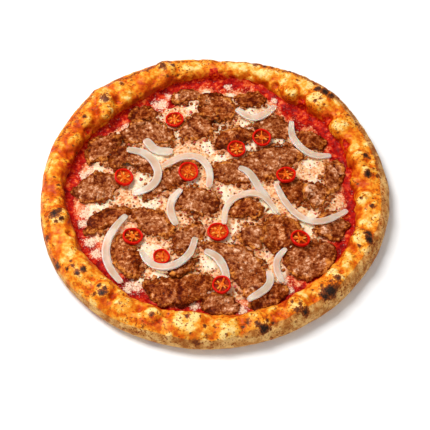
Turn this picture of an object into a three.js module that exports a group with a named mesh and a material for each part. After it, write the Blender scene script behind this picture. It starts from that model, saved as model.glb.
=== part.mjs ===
// A kebab pizza, about 300 mm across: a leavened crust with a raised, blistered rim,
// tomato sauce, melted cheese, slices of grilled kebab meat, arcs of raw onion and
// rings of red chilli. Millimetres, +Z up. The origin is under the middle of the pizza,
// on the surface it rests on. +X is to the right and +Y is the far side.

import * as THREE from "three";

// ---- Driving dimensions, in millimetres and degrees ----

const CLEARANCE = 0.3; // free space between one piece and the piece under it

const RIM_STEPS = 108; // corners round the crust
const RIM_CORE_HEIGHT = 8; // height of the middle of the rim's section
const RIM_SQUARENESS = 2.3; // 2 gives an elliptical section, more gives fuller shoulders
const FLOOR_THICKNESS = 4; // dough under the toppings
const TOE_WIDTH = 4; // fillet between the rim and the dough floor
const BUBBLE_SPREAD = 0.45; // where a bubble has sunk to a third, as a share of its width

// Sizes of the rim, one every 15 degrees counter-clockwise from +X.
const RIM_RADII = [
  147, 147, 148, 151, 151, 148, 146, 151, 152, 155, 152, 151,
  149, 150, 151, 150, 149, 147, 145, 143, 142, 142, 143, 145,
];
const DISH_RADII = [
  118, 118, 122, 124, 121, 129, 129, 128, 123, 122, 126, 128,
  130, 125, 125, 122, 122, 120, 119, 118, 117, 117, 119, 119,
];
const CREST_HEIGHTS = [
  19, 19.5, 19, 20, 19.5, 18, 17.5, 18, 19, 20, 19, 18.5,
  18, 19.5, 20, 20, 19.5, 19, 20, 19.5, 20, 20.5, 20, 19.5,
];

// Directions of the corners of the rim's section: 0 points outwards, 90 up, 180 inwards.
const SECTION_DIRECTIONS = [-62, -28, -4, 18, 38, 57, 75, 93, 111, 130, 152, 182];

// Bubbles on the rim: angle round the pizza, direction in the section, width, height.
const RIM_BUBBLES = [
  [136, 82, 17, 3.2], [143, 132, 14, 3.0], [193, 103, 16, 2.6], [216, 92, 22, 2.0],
  [229, 95, 17, 2.4], [248, 102, 14, 2.2], [263, 125, 26, 3.4], [285, 89, 18, 2.2],
  [301, 97, 17, 2.8], [314, 83, 20, 2.4], [338, 91, 21, 2.8], [355, 92, 19, 2.2],
  [8, 122, 16, 2.6], [17, 97, 17, 2.6], [35, 95, 18, 2.0], [48, 100, 23, 3.6],
  [59, 128, 18, 3.4], [111, 86, 16, 2.2], [148, 92, 15, 1.8], [159, 99, 15, 1.6],
  [176, 83, 16, 1.8], [5, 6, 8, 1.8], [109, 40, 9, 1.6], [95, 38, 9, 1.4],
  [202, 96, 14, 1.2], [275, 96, 14, 1.4], [325, 96, 14, 1.6], [78, 92, 16, 1.2],
];

const SAUCE_THICKNESS = 1.2;
const SAUCE_CORNER_DEPTH = 3; // sauce gathered against the rim
const SAUCE_CORNER_RISE = 1;
const SAUCE_LUMPS = 0.5; // how much the gathered sauce goes up and down
const SAUCE_SEED = 3;

const CHEESE_STEPS = 60;
const CHEESE_THICKNESS = 1.5;
const CHEESE_MARGIN = 12; // bare sauce between the cheese and the rim
const CHEESE_WAVES = 5; // how far the edge of the cheese wanders
const CHEESE_LUMPS = 0.3;
const CHEESE_SEED = 7;

const MEAT_THICKNESS = 2.4;
const MEAT_EDGE = 0.55; // thickness at a slice's edge, as a share of the middle
const MEAT_RELIEF = 0.4; // crags on a slice's top
const MEAT_NOTCH = 0.12; // how uneven a slice's outline is, as a share of its width
const MEAT_FOLD = 0.24; // length of the hump of an arched slice, as a share of its spine
const MEAT_STATIONS = [0.05, 0.2, 0.4, 0.6, 0.8, 0.95]; // places along a slice's spine
const MEAT_COLUMNS = [-1, -0.5, 0, 0.5, 1]; // places across a slice

// Slices of meat, the lowest first. A spine's points are x, y and the slice's width
// there. Blunt is 2 for an ellipse, less for a leaf, more for a strip cut square.
// Arch lifts the middle of a slice, and curl lifts its left edge, seen along the spine.
const SLICES = [
  { spine: [[-44, 103, 12], [-30, 109, 16], [-14, 105, 12]] },
  { spine: [[-29, 59, 22], [-19, 73, 27], [-5, 81, 24]] },
  { spine: [[-16, 86, 29], [-3, 93, 34], [12, 84, 25]], curl: 3 },
  { spine: [[-79, 82, 16], [-67, 85, 20], [-54, 89, 17]], curl: 1 },
  { spine: [[-84, 55, 14], [-69, 65, 25], [-38, 61, 26]], blunt: 3, curl: 1.5 },
  { spine: [[-112, 32, 18], [-99, 48, 24], [-86, 60, 22]], arch: 1 },
  { spine: [[-125, -1, 18], [-103, 5, 27], [-81, 16, 20]], blunt: 1.9, curl: 1 },
  { spine: [[-62, -4, 12], [-43, 13, 19], [-15, 35, 19]], blunt: 2.2, curl: 1.5 },
  { spine: [[-94, 30, 15], [-77, 37, 17], [-54, 24, 14]], blunt: 3, arch: 4.5 },
  { spine: [[15, 104, 15], [29, 106, 18], [44, 104, 15]], arch: 1 },
  { spine: [[-4, 50, 16], [12, 61, 21], [32, 69, 15]], blunt: 2, arch: 1.5 },
  { spine: [[31, 71, 16], [46, 76, 24], [64, 68, 19]], blunt: 3, curl: -1.5 },
  { spine: [[68, 66, 16], [81, 62, 20], [95, 59, 16]], arch: 1 },
  { spine: [[-4, 27, 28], [18, 24, 26], [44, 37, 34], [75, 50, 23]], blunt: 3 },
  { spine: [[54, 14, 16], [66, 8, 24], [77, 1, 17]], blunt: 2.5 },
  { spine: [[97, 6, 13], [101, 25, 17], [103, 43, 14]], arch: 1 },
  { spine: [[73, 0, 18], [84, 2, 23], [94, -3, 17]], blunt: 3, arch: 1 },
  { spine: [[10, -18, 15], [25, -12, 20], [40, -16, 15]], blunt: 2.2, arch: 1 },
  { spine: [[-34, -9, 21], [-16, -7, 29], [3, -12, 21]], blunt: 3, arch: 1.5 },
  { spine: [[-111, -40, 12], [-92, -28, 18], [-73, -16, 13]], blunt: 2.2, curl: 2 },
  { spine: [[-72, -19, 16], [-55, -28, 24], [-36, -42, 18]], blunt: 1.8, curl: 1.5 },
  { spine: [[-33, -57, 14], [-23, -43, 19], [-9, -32, 18]], curl: 1.5 },
  { spine: [[-81, -42, 18], [-72, -64, 23], [-66, -85, 18]], curl: -1 },
  { spine: [[-57, -88, 13], [-34, -96, 29], [-2, -83, 27]], arch: 1.5 },
  { spine: [[-36, -83, 10], [-27, -73, 13], [-17, -62, 10]], arch: 1 },
  { spine: [[20, -34, 19], [29, -40, 22], [39, -51, 16]], arch: 1 },
  { spine: [[38, -33, 31], [54, -36, 35], [71, -32, 23]], blunt: 4 },
  { spine: [[83, -32, 17], [97, -27, 27], [112, -25, 17]], arch: 1 },
  { spine: [[57, -66, 25], [76, -62, 35], [98, -48, 23]], blunt: 2.8, curl: -1 },
  { spine: [[29, -106, 12], [44, -97, 17], [59, -86, 15]], blunt: 3 },
  { spine: [[-13, -52, 12], [12, -55, 20], [27, -76, 31], [32, -100, 18]], arch: 1 },
  { spine: [[-10, -105, 14], [5, -106, 18], [22, -107, 14]] },
];

const ONION_WIDTH = 6;
const ONION_HEIGHT = 3;
const ONION_STIFFNESS = 0.28; // steepest slope that a strip bends to
const ONION_STATIONS = 11;
const ONION_FOOT = 0.4; // half the part of the width that a strip lies on
const ONION_END = 0.72; // size of a strip's cut ends, as a share of its middle
const ONION_TAPER = 1 / 6; // share of its length over which a strip gets its full size

// Onion arcs, the lowest first, each along a curve through its points.
const ONIONS = [
  { path: [[18, 28], [25, 26], [31, 17], [39, 4], [45, -1]], width: 6.5 },
  { path: [[-64, 56], [-54, 45], [-39, 45]], width: 8 },
  { path: [[-79, 41], [-64, 42], [-51, 27], [-50, 11], [-60, 0], [-72, -1]], width: 6.8 },
  { path: [[-47, 24], [-37, 36], [-24, 42], [-11, 36], [-5, 23], [-7, 6]], width: 6.2 },
  { path: [[-30, 4], [-38, -6], [-39, -18], [-33, -33]], width: 6.4 },
  { path: [[15, 91], [22, 85], [34, 82], [45, 91], [50, 101]], width: 6.6 },
  { path: [[65, 81], [63, 64], [71, 52], [83, 43], [99, 47]], width: 5.8 },
  { path: [[50, 14], [57, -5], [68, -20], [84, -29], [98, -23], [111, -11]], width: 5.6 },
  { path: [[-75, -24], [-86, -39], [-91, -56], [-87, -75], [-75, -88]], width: 6.4 },
  { path: [[-61, -58], [-56, -70], [-44, -76], [-28, -72], [-19, -58], [-17, -44]] },
  { path: [[-9, -57], [1, -62], [9, -76], [10, -84]], width: 6.8 },
  { path: [[59, -53], [51, -61], [51, -72], [55, -86]], width: 5.2 },
  { path: [[44, -74], [46, -83], [41, -94], [27, -104]], width: 6 },
  { path: [[7, -33], [7, -14], [16, 0], [29, 4], [41, 1], [51, -18]], width: 5.4, late: true },
];

const CHILLI_HEIGHT = 3.2;
const CHILLI_STEPS = 20; // corners round a ring
const CHILLI_WALL = 0.2; // thickness of the flesh, as a share of the radius
const CHILLI_HUB = 0.3; // size of the seeded middle, as a share of the radius
const CHILLI_SPOKE = 0.13; // thickness of a membrane, as a share of the radius
const CHAMBER_SHOULDER = 0.72; // where a chamber starts to narrow, as a share of its reach
const CHAMBER_WAIST = 0.9; // its width there, as a share of its greatest
const CHAMBER_TIP = 0.12; // least half width of its inner end, in radians
const CHILLI_TILT = 10; // steepest lie of a ring
const COVERED_CHILLI = 8; // the ring that lies under the last onion arc, counted from 1

// Chilli rings: x, y, diameter, number of chambers, and the first chamber's direction.
const CHILLIES = [
  [-39, 79, 15.9, 6, 20], [16, 48, 15.7, 6, 5], [38, 60, 16.4, 4, 50],
  [-80, 14, 16.6, 5, 10], [-25, 22, 17.7, 4, 35], [59, 20, 17.1, 5, 60],
  [-69, -45, 16.8, 5, 15], [2, -38, 17.6, 5, 40], [70, -44, 16.2, 5, 0],
  [-44, -63, 14.3, 3, 20], [6, -90, 15.7, 4, 30],
];

const CRUST_MATERIAL = { color: 0xd99a45, roughness: 0.75, metalness: 0 };
const SAUCE_MATERIAL = { color: 0xb3200e, roughness: 0.35, metalness: 0 };
const CHEESE_MATERIAL = { color: 0xf2e3c8, roughness: 0.4, metalness: 0 };
const MEAT_MATERIAL = { color: 0x8a5638, roughness: 0.6, metalness: 0 };
const ONION_MATERIAL = { color: 0xe6dccb, roughness: 0.3, metalness: 0 };
const CHILLI_MATERIAL = { color: 0xc81e10, roughness: 0.25, metalness: 0 };

// ---- Helpers ----

const TURN = 2 * Math.PI;
const radians = THREE.MathUtils.degToRad;

// Smooth values round the pizza from a list that is evenly spaced over one turn.
function around(values, angle) {
  const count = values.length;
  const place = ((((angle / TURN) % 1) + 1) % 1) * count;
  const first = Math.floor(place);
  const [a, b, c, d] = [-1, 0, 1, 2].map((step) => values[(first + step + count) % count]);
  const t = place - first;
  const slope = 0.5 * (c - a);
  const bend = 0.5 * (2 * a - 5 * b + 4 * c - d);
  const twist = 0.5 * (3 * (b - c) + d - a);
  return b + t * (slope + t * (bend + t * twist));
}

// A repeatable number from -1 to 1 for a place, so that every build is the same.
function ragged(x, y, salt) {
  const wave = Math.sin(x * 12.9898 + y * 78.233 + salt * 37.719) * 43758.5453;
  return 2 * (wave - Math.floor(wave)) - 1;
}

function turnDistance(a, b) {
  const gap = Math.abs(a - b) % TURN;
  return Math.min(gap, TURN - gap);
}

function solid(name, vertices, triangles, look) {
  const geometry = new THREE.BufferGeometry();
  const positions = vertices.flatMap((vertex) => [vertex.x, vertex.y, vertex.z]);
  geometry.setAttribute("position", new THREE.Float32BufferAttribute(positions, 3));
  geometry.setIndex(triangles.flat());
  geometry.computeVertexNormals();
  const mesh = new THREE.Mesh(geometry, new THREE.MeshStandardMaterial(look));
  mesh.name = name;
  return mesh;
}

// Triangles between two closed rings of corners, given by the first corner's number.
function band(lower, upper, steps) {
  const triangles = [];
  for (let i = 0; i < steps; i += 1) {
    const next = (i + 1) % steps;
    triangles.push([lower + i, lower + next, upper + next]);
    triangles.push([lower + i, upper + next, upper + i]);
  }
  return triangles;
}

// Triangles from a ring to one corner in its middle, facing up or down.
function fan(centre, ring, steps, up) {
  const triangles = [];
  for (let i = 0; i < steps; i += 1) {
    const next = (i + 1) % steps;
    triangles.push(up ? [centre, ring + i, ring + next] : [centre, ring + next, ring + i]);
  }
  return triangles;
}

const TERRAIN_REACH = 180; // half the side of the square that the terrain covers
const TERRAIN_CELL = 1;
const CELL_REACH = 0.9; // how near a triangle comes to a cell to count, in cells

// The height of what has been laid so far, on a square grid of cells.
class Terrain {
  constructor(reach, cell) {
    this.reach = reach;
    this.cell = cell;
    this.count = Math.ceil((2 * reach) / cell);
    this.heights = new Float64Array(this.count * this.count);
  }

  column(x) {
    return Math.floor((x + this.reach) / this.cell);
  }

  top(x, y) {
    return this.heights[this.column(y) * this.count + this.column(x)];
  }

  // The highest cell within a distance of a place.
  highest(x, y, distance) {
    let best = 0;
    for (let dx = -distance; dx <= distance; dx += this.cell) {
      for (let dy = -distance; dy <= distance; dy += this.cell) {
        best = Math.max(best, this.top(x + dx, y + dy));
      }
    }
    return best;
  }

  // Every cell that the triangle covers or nearly touches is raised to it.
  layTriangle(a, b, c) {
    const area = (b.x - a.x) * (c.y - a.y) - (c.x - a.x) * (b.y - a.y);
    if (Math.abs(area) < 1e-6) return;
    const longest = Math.max(a.distanceTo(b), b.distanceTo(c), c.distanceTo(a));
    const outside = (CELL_REACH * this.cell * longest) / Math.abs(area);
    const highest = Math.max(a.z, b.z, c.z);
    const [left, right] = [Math.min(a.x, b.x, c.x), Math.max(a.x, b.x, c.x)];
    const [near, far] = [Math.min(a.y, b.y, c.y), Math.max(a.y, b.y, c.y)];
    for (let row = this.column(near) - 1; row <= this.column(far) + 1; row += 1) {
      for (let column = this.column(left) - 1; column <= this.column(right) + 1; column += 1) {
        const x = (column + 0.5) * this.cell - this.reach;
        const y = (row + 0.5) * this.cell - this.reach;
        const u = ((b.x - x) * (c.y - y) - (c.x - x) * (b.y - y)) / area;
        const v = ((c.x - x) * (a.y - y) - (a.x - x) * (c.y - y)) / area;
        const w = 1 - u - v;
        if (Math.min(u, v, w) < -outside) continue;
        const height = Math.min(highest, u * a.z + v * b.z + w * c.z);
        const place = row * this.count + column;
        this.heights[place] = Math.max(this.heights[place], height);
      }
    }
  }

  lay(mesh) {
    mesh.updateWorldMatrix(true, false);
    const position = mesh.geometry.getAttribute("position");
    const index = mesh.geometry.getIndex();
    const count = index ? index.count : position.count;
    const corner = (i) => new THREE.Vector3()
      .fromBufferAttribute(position, index ? index.getX(i) : i)
      .applyMatrix4(mesh.matrixWorld);
    for (let i = 0; i < count; i += 3) {
      this.layTriangle(corner(i), corner(i + 1), corner(i + 2));
    }
  }
}

const SAMPLE_SPACING = 0.8; // distance between the places tested under a triangle
const SETTLING_ROUNDS = 60;
const SETTLED_DEPTH = 0.005; // a sheet this little below its place counts as clear

// Raises the corners of a sheet's underside until all of it clears the terrain.
function clearTerrain(terrain, vertices, triangles) {
  for (let round = 0; round < SETTLING_ROUNDS; round += 1) {
    let raised = false;
    for (const triangle of triangles) {
      const [a, b, c] = triangle.map((i) => vertices[i]);
      const size = Math.max(a.distanceTo(b), b.distanceTo(c), c.distanceTo(a));
      const steps = Math.max(2, Math.ceil(size / SAMPLE_SPACING));
      let worst = { depth: SETTLED_DEPTH };
      for (let i = 0; i <= steps; i += 1) {
        for (let j = 0; j <= steps - i; j += 1) {
          const [u, v] = [i / steps, j / steps];
          const w = 1 - u - v;
          const x = u * a.x + v * b.x + w * c.x;
          const y = u * a.y + v * b.y + w * c.y;
          const z = u * a.z + v * b.z + w * c.z;
          const depth = terrain.top(x, y) + CLEARANCE - z;
          if (depth > worst.depth) worst = { depth, shares: [u, v, w] };
        }
      }
      if (!worst.shares) continue;
      raised = true;
      const total = worst.shares.reduce((sum, share) => sum + share * share, 0);
      [a, b, c].forEach((corner, i) => {
        corner.z += (worst.depth * worst.shares[i]) / total;
      });
    }
    if (!raised) return;
  }
}

// ---- Crust ----

// A corner of the rim's section, at an angle round the pizza.
function rimPoint(angle, direction) {
  const outer = around(RIM_RADII, angle);
  const inner = around(DISH_RADII, angle);
  const crest = around(CREST_HEIGHTS, angle);
  const [cosine, sine] = [Math.cos(direction), Math.sin(direction)];
  const power = 2 / RIM_SQUARENESS;
  const rise = sine > 0 ? crest - RIM_CORE_HEIGHT : RIM_CORE_HEIGHT;
  let across = 0.5 * (outer - inner) * Math.sign(cosine) * Math.abs(cosine) ** power;
  let up = rise * Math.sign(sine) * Math.abs(sine) ** power;
  for (const [place, facing, width, height] of RIM_BUBBLES) {
    const spread = BUBBLE_SPREAD * width;
    const along = (turnDistance(angle, radians(place)) * outer) / spread;
    const round = ((direction - radians(facing)) * rise) / spread;
    const swell = height * Math.exp(-along * along - round * round);
    across += swell * cosine;
    up += swell * sine;
  }
  return new THREE.Vector2(0.5 * (outer + inner) + across, RIM_CORE_HEIGHT + up);
}

function place(angle, radius, height) {
  return new THREE.Vector3(radius * Math.cos(angle), radius * Math.sin(angle), height);
}

// A closed ring of corners, from a function that gives radius and height by angle.
function ring(steps, profile) {
  return Array.from({ length: steps }, (_, i) => {
    const angle = (i / steps) * TURN;
    const point = profile(angle);
    return place(angle, point.x, point.y);
  });
}

const toeRadius = (angle) => rimPoint(angle, radians(SECTION_DIRECTIONS.at(-1))).x - TOE_WIDTH;

function makeCrust() {
  const rings = SECTION_DIRECTIONS.map((degrees, row) => ring(RIM_STEPS, (angle) => {
    const point = rimPoint(angle, radians(degrees));
    if (row === 0) point.y = 0;
    return point;
  }));
  rings.push(ring(RIM_STEPS, (angle) => new THREE.Vector2(toeRadius(angle), FLOOR_THICKNESS)));
  const vertices = rings.flat();
  const underside = vertices.push(new THREE.Vector3(0, 0, 0)) - 1;
  const floor = vertices.push(new THREE.Vector3(0, 0, FLOOR_THICKNESS)) - 1;
  const triangles = fan(underside, 0, RIM_STEPS, false);
  for (let row = 0; row < rings.length - 1; row += 1) {
    triangles.push(...band(row * RIM_STEPS, (row + 1) * RIM_STEPS, RIM_STEPS));
  }
  triangles.push(...fan(floor, (rings.length - 1) * RIM_STEPS, RIM_STEPS, true));
  return solid("crust", vertices, triangles, CRUST_MATERIAL);
}

// ---- Sauce and cheese ----

const SAUCE_TOP = FLOOR_THICKNESS + CLEARANCE + SAUCE_THICKNESS;

// The sauce lies on the dough floor and gathers in the corner against the rim.
function makeSauce() {
  const edge = (angle) => rimPoint(angle, radians(SECTION_DIRECTIONS.at(-1)));
  const rings = [
    (angle) => new THREE.Vector2(toeRadius(angle) - CLEARANCE, FLOOR_THICKNESS + CLEARANCE),
    (angle) => new THREE.Vector2(edge(angle).x - CLEARANCE, edge(angle).y),
    (angle) => new THREE.Vector2(
      edge(angle).x - SAUCE_CORNER_DEPTH,
      SAUCE_TOP + SAUCE_CORNER_RISE + SAUCE_LUMPS * ragged(angle, 1, SAUCE_SEED),
    ),
    (angle) => new THREE.Vector2(toeRadius(angle) - SAUCE_CORNER_DEPTH, SAUCE_TOP),
  ].map((profile) => ring(RIM_STEPS, profile));
  const vertices = rings.flat();
  const underside = vertices.push(new THREE.Vector3(0, 0, FLOOR_THICKNESS + CLEARANCE)) - 1;
  const top = vertices.push(new THREE.Vector3(0, 0, SAUCE_TOP)) - 1;
  const triangles = fan(underside, 0, RIM_STEPS, false);
  for (let row = 0; row < rings.length - 1; row += 1) {
    triangles.push(...band(row * RIM_STEPS, (row + 1) * RIM_STEPS, RIM_STEPS));
  }
  triangles.push(...fan(top, (rings.length - 1) * RIM_STEPS, RIM_STEPS, true));
  return solid("sauce", vertices, triangles, SAUCE_MATERIAL);
}

const CHEESE_RINGS = [1, 0.97, 0.8, 0.5]; // share of the cheese's radius, from the edge in

// The edge of the cheese wanders in two waves, of 5 and 11 to a turn.
function cheeseRadius(angle) {
  const waves = Math.sin(5 * angle + 1) + Math.sin(11 * angle + 2);
  return toeRadius(angle) - CHEESE_MARGIN + 0.5 * CHEESE_WAVES * waves;
}

function makeCheese() {
  const bottom = SAUCE_TOP + CLEARANCE;
  const rings = CHEESE_RINGS.map((share, row) => ring(CHEESE_STEPS, (angle) => {
    const lump = CHEESE_LUMPS * ragged(angle, share, CHEESE_SEED);
    const height = row === 0 ? bottom : bottom + CHEESE_THICKNESS + lump;
    return new THREE.Vector2(share * cheeseRadius(angle), height);
  }));
  const vertices = rings.flat();
  const underside = vertices.push(new THREE.Vector3(0, 0, bottom)) - 1;
  const top = vertices.push(new THREE.Vector3(0, 0, bottom + CHEESE_THICKNESS)) - 1;
  const triangles = fan(underside, 0, CHEESE_STEPS, false);
  for (let row = 0; row < rings.length - 1; row += 1) {
    triangles.push(...band(row * CHEESE_STEPS, (row + 1) * CHEESE_STEPS, CHEESE_STEPS));
  }
  triangles.push(...fan(top, (rings.length - 1) * CHEESE_STEPS, CHEESE_STEPS, true));
  return solid("cheese", vertices, triangles, CHEESE_MATERIAL);
}

// ---- Meat ----

// A slice is a thin sheet round a spine, laid over what is already there.
function makeSlice(terrain, slice, number) {
  const { spine, blunt = 2.5, arch = 0, curl = 0 } = slice;
  const curve = new THREE.CatmullRomCurve3(spine.map(([x, y, w]) => new THREE.Vector3(x, y, w)));
  const under = [];
  const lift = []; // how far a corner stands off what is under it
  const thick = [];
  const addCorner = (x, y, along, across) => {
    const edge = Math.abs(across) > 0.99 ? MEAT_EDGE : 1;
    const crag = 1 + (MEAT_RELIEF * ragged(x, y, number)) / MEAT_THICKNESS;
    const ridge = arch * Math.exp(-(((along - 0.5) / MEAT_FOLD) ** 2));
    lift.push(ridge + Math.abs(curl) * Math.max(0, Math.sign(curl) * across) ** 2);
    thick.push(MEAT_THICKNESS * edge * crag);
    under.push(new THREE.Vector3(x, y, terrain.top(x, y) + CLEARANCE));
  };
  for (const along of MEAT_STATIONS) {
    const middle = curve.getPoint(along);
    const heading = curve.getTangent(along).setZ(0).normalize();
    const round = (1 - Math.abs(2 * along - 1) ** blunt) ** (1 / blunt);
    for (const across of MEAT_COLUMNS) {
      const notch = 1 + MEAT_NOTCH * ragged(along, across, number);
      const offset = 0.5 * middle.z * round * across * notch;
      addCorner(middle.x - heading.y * offset, middle.y + heading.x * offset, along, across);
    }
  }
  for (const along of [0, 1]) {
    const tip = curve.getPoint(along);
    addCorner(tip.x, tip.y, along, 1);
  }
  lift[lift.length - 1] = 0;
  lift[lift.length - 2] = 0;

  const columns = MEAT_COLUMNS.length;
  const last = (MEAT_STATIONS.length - 1) * columns;
  const [headTip, tailTip] = [MEAT_STATIONS.length * columns, MEAT_STATIONS.length * columns + 1];
  const sheet = [];
  for (let row = 0; row < last; row += columns) {
    for (let column = 0; column < columns - 1; column += 1) {
      const corner = row + column;
      sheet.push([corner, corner + columns, corner + columns + 1]);
      sheet.push([corner, corner + columns + 1, corner + 1]);
    }
  }
  for (let column = 0; column < columns - 1; column += 1) {
    sheet.push([headTip, column, column + 1]);
    sheet.push([tailTip, last + column + 1, last + column]);
  }
  clearTerrain(terrain, under, sheet);

  const vertices = under.map((corner, i) => corner.clone().setZ(corner.z + lift[i]));
  vertices.push(...vertices.map((corner, i) => corner.clone().setZ(corner.z + thick[i])));
  const above = under.length;
  const border = [headTip];
  for (let row = 0; row <= last; row += columns) border.push(row);
  border.push(tailTip);
  for (let row = last; row >= 0; row -= columns) border.push(row + columns - 1);
  const triangles = sheet.map(([a, b, c]) => [a, c, b]);
  triangles.push(...sheet.map((triangle) => triangle.map((corner) => corner + above)));
  border.forEach((corner, i) => {
    const next = border[(i + 1) % border.length];
    triangles.push([corner, next, next + above], [corner, next + above, corner + above]);
  });
  return solid(numbered("meat", number), vertices, triangles, MEAT_MATERIAL);
}

function numbered(name, number) {
  return `${name}_${String(number).padStart(2, "0")}`;
}

// ---- Onions ----

// Corners of a strip's section: place across and height, as shares of its size.
const ONION_SECTION = [[-0.38, 0], [0.38, 0], [0.5, 0.5], [0, 1], [-0.5, 0.5]];

// A strip of onion is stiff, so it bridges the hollows under it.
function makeOnion(terrain, onion, number) {
  const { path, width = ONION_WIDTH } = onion;
  const curve = new THREE.CatmullRomCurve3(path.map(([x, y]) => new THREE.Vector3(x, y, 0)));
  const stations = Array.from({ length: ONION_STATIONS }, (_, i) => {
    const along = i / (ONION_STATIONS - 1);
    const middle = curve.getPointAt(along);
    const heading = curve.getTangentAt(along);
    return { middle, side: new THREE.Vector3(heading.y, -heading.x, 0), taper: taperAt(along) };
  });
  const spacing = curve.getLength() / (ONION_STATIONS - 1);
  const floors = stations.map(({ middle }) => (
    terrain.highest(middle.x, middle.y, ONION_FOOT * width) + CLEARANCE
  ));
  stations.forEach((station, i) => {
    station.middle.z = Math.max(...floors.map((height, j) => (
      height - ONION_STIFFNESS * spacing * Math.abs(i - j)
    )));
  });
  const corners = ONION_SECTION.length;
  const vertices = stations.flatMap(({ middle, side, taper }) => ONION_SECTION.map(([across, up]) => (
    middle.clone().addScaledVector(side, -across * width * taper)
      .setZ(middle.z + up * ONION_HEIGHT * taper)
  )));
  const under = [];
  for (let row = 0; row < vertices.length - corners; row += corners) {
    const next = row + corners;
    under.push([row, next, next + 1], [row, next + 1, row + 1]);
    under.push([row + 1, next + 1, next + 2], [row + 1, next + 2, row + 2]);
    under.push([row + 4, next + 4, next], [row + 4, next, row]);
  }
  const before = vertices.map((corner) => corner.z);
  clearTerrain(terrain, vertices, under);
  for (let row = 0; row < vertices.length; row += corners) {
    const raise = Math.max(...[0, 1, 2, 3, 4].map((i) => vertices[row + i].z - before[row + i]));
    for (let i = row; i < row + corners; i += 1) vertices[i].z = before[i] + raise;
  }
  const triangles = [];
  for (let row = 0; row < vertices.length - corners; row += corners) {
    for (let i = 0; i < corners; i += 1) {
      const [a, b] = [row + i, row + ((i + 1) % corners)];
      triangles.push([a, b, b + corners], [a, b + corners, a + corners]);
    }
  }
  const end = vertices.length - corners;
  for (let i = 1; i < corners - 1; i += 1) {
    triangles.push([0, i + 1, i], [end, end + i, end + i + 1]);
  }
  return solid(numbered("onion", number), vertices, triangles, ONION_MATERIAL);
}

// The cut ends of a strip are a little thinner than its middle.
function taperAt(along) {
  return ONION_END + (1 - ONION_END) * Math.min(1, Math.min(along, 1 - along) / ONION_TAPER);
}

// ---- Chillies ----

// The outline of one ring of chilli, with its open chambers between the membranes.
function chilliShape(radius, chambers, turn) {
  const shape = new THREE.Shape();
  for (let i = 0; i < CHILLI_STEPS; i += 1) {
    const angle = (i / CHILLI_STEPS) * TURN;
    const point = [radius * Math.cos(angle), radius * Math.sin(angle)];
    if (i === 0) shape.moveTo(...point);
    else shape.lineTo(...point);
  }
  shape.closePath();
  const outer = radius * (1 - CHILLI_WALL);
  const hub = radius * CHILLI_HUB;
  const spoke = radius * CHILLI_SPOKE;
  for (let i = 0; i < chambers; i += 1) {
    const middle = radians(turn) + (i / chambers) * TURN;
    const half = Math.PI / chambers;
    const wide = half - spoke / outer;
    const narrow = Math.max(CHAMBER_TIP, half - spoke / hub);
    const [shoulder, waist] = [CHAMBER_SHOULDER * outer, CHAMBER_WAIST * wide];
    const corners = [
      [outer, -wide], [outer, 0], [outer, wide],
      [shoulder, waist], [hub, narrow], [hub, -narrow], [shoulder, -waist],
    ];
    const chamber = new THREE.Path(corners.map(([r, a]) => (
      new THREE.Vector2(r * Math.cos(middle + a), r * Math.sin(middle + a))
    )));
    chamber.closePath();
    shape.holes.push(chamber);
  }
  return shape;
}

const DISC_SPACING = 0.5;

// Places all over a disc, on a square grid round its centre.
function discPlaces(radius) {
  const places = [];
  for (let dx = -radius; dx <= radius; dx += DISC_SPACING) {
    for (let dy = -radius; dy <= radius; dy += DISC_SPACING) {
      if (Math.hypot(dx, dy) <= radius) places.push([dx, dy]);
    }
  }
  return places;
}

// The lie of the terrain under a disc: the plane that fits it best, not too steep.
function lieOfTerrain(terrain, x, y, radius) {
  let [slopeX, slopeY, weight] = [0, 0, 0];
  for (const [dx, dy] of discPlaces(radius)) {
    const height = terrain.top(x + dx, y + dy);
    slopeX += dx * height;
    slopeY += dy * height;
    weight += dx * dx;
  }
  const normal = new THREE.Vector3(-slopeX / weight, -slopeY / weight, 1).normalize();
  const up = new THREE.Vector3(0, 0, 1);
  const tilt = Math.min(normal.angleTo(up), radians(CHILLI_TILT));
  const axis = up.clone().cross(normal).normalize();
  return new THREE.Quaternion().setFromAxisAngle(axis, tilt);
}

function makeChilli(terrain, chilli, number) {
  const [x, y, diameter, chambers, turn] = chilli;
  const radius = 0.5 * diameter;
  const geometry = new THREE.ExtrudeGeometry(chilliShape(radius, chambers, turn), {
    depth: CHILLI_HEIGHT, bevelEnabled: false, curveSegments: 1,
  });
  const mesh = new THREE.Mesh(geometry, new THREE.MeshStandardMaterial(CHILLI_MATERIAL));
  mesh.name = numbered("chilli", number);
  mesh.quaternion.copy(lieOfTerrain(terrain, x, y, radius));
  mesh.position.set(x, y, 0);
  const heights = discPlaces(radius).map(([dx, dy]) => {
    const under = new THREE.Vector3(dx, dy, 0).applyQuaternion(mesh.quaternion);
    return terrain.top(x + under.x, y + under.y) - under.z;
  });
  mesh.position.z = Math.max(...heights) + CLEARANCE;
  return mesh;
}

// ---- The pizza ----

const terrain = new Terrain(TERRAIN_REACH, TERRAIN_CELL);
const pieces = [makeCrust(), makeSauce(), makeCheese()];
pieces.forEach((piece) => terrain.lay(piece));

function add(piece) {
  terrain.lay(piece);
  pieces.push(piece);
}

SLICES.forEach((slice, i) => add(makeSlice(terrain, slice, i + 1)));
ONIONS.forEach((onion, i) => {
  if (onion.late) add(makeChilli(terrain, CHILLIES[COVERED_CHILLI - 1], COVERED_CHILLI));
  add(makeOnion(terrain, onion, i + 1));
});
CHILLIES.forEach((chilli, i) => {
  if (i + 1 !== COVERED_CHILLI) add(makeChilli(terrain, chilli, i + 1));
});

const pizza = new THREE.Group();
pizza.add(...pieces);
const box = new THREE.Box3().setFromObject(pizza);
const middle = box.getCenter(new THREE.Vector3());
pizza.position.set(-middle.x, -middle.y, 0);

export default pizza;
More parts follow.
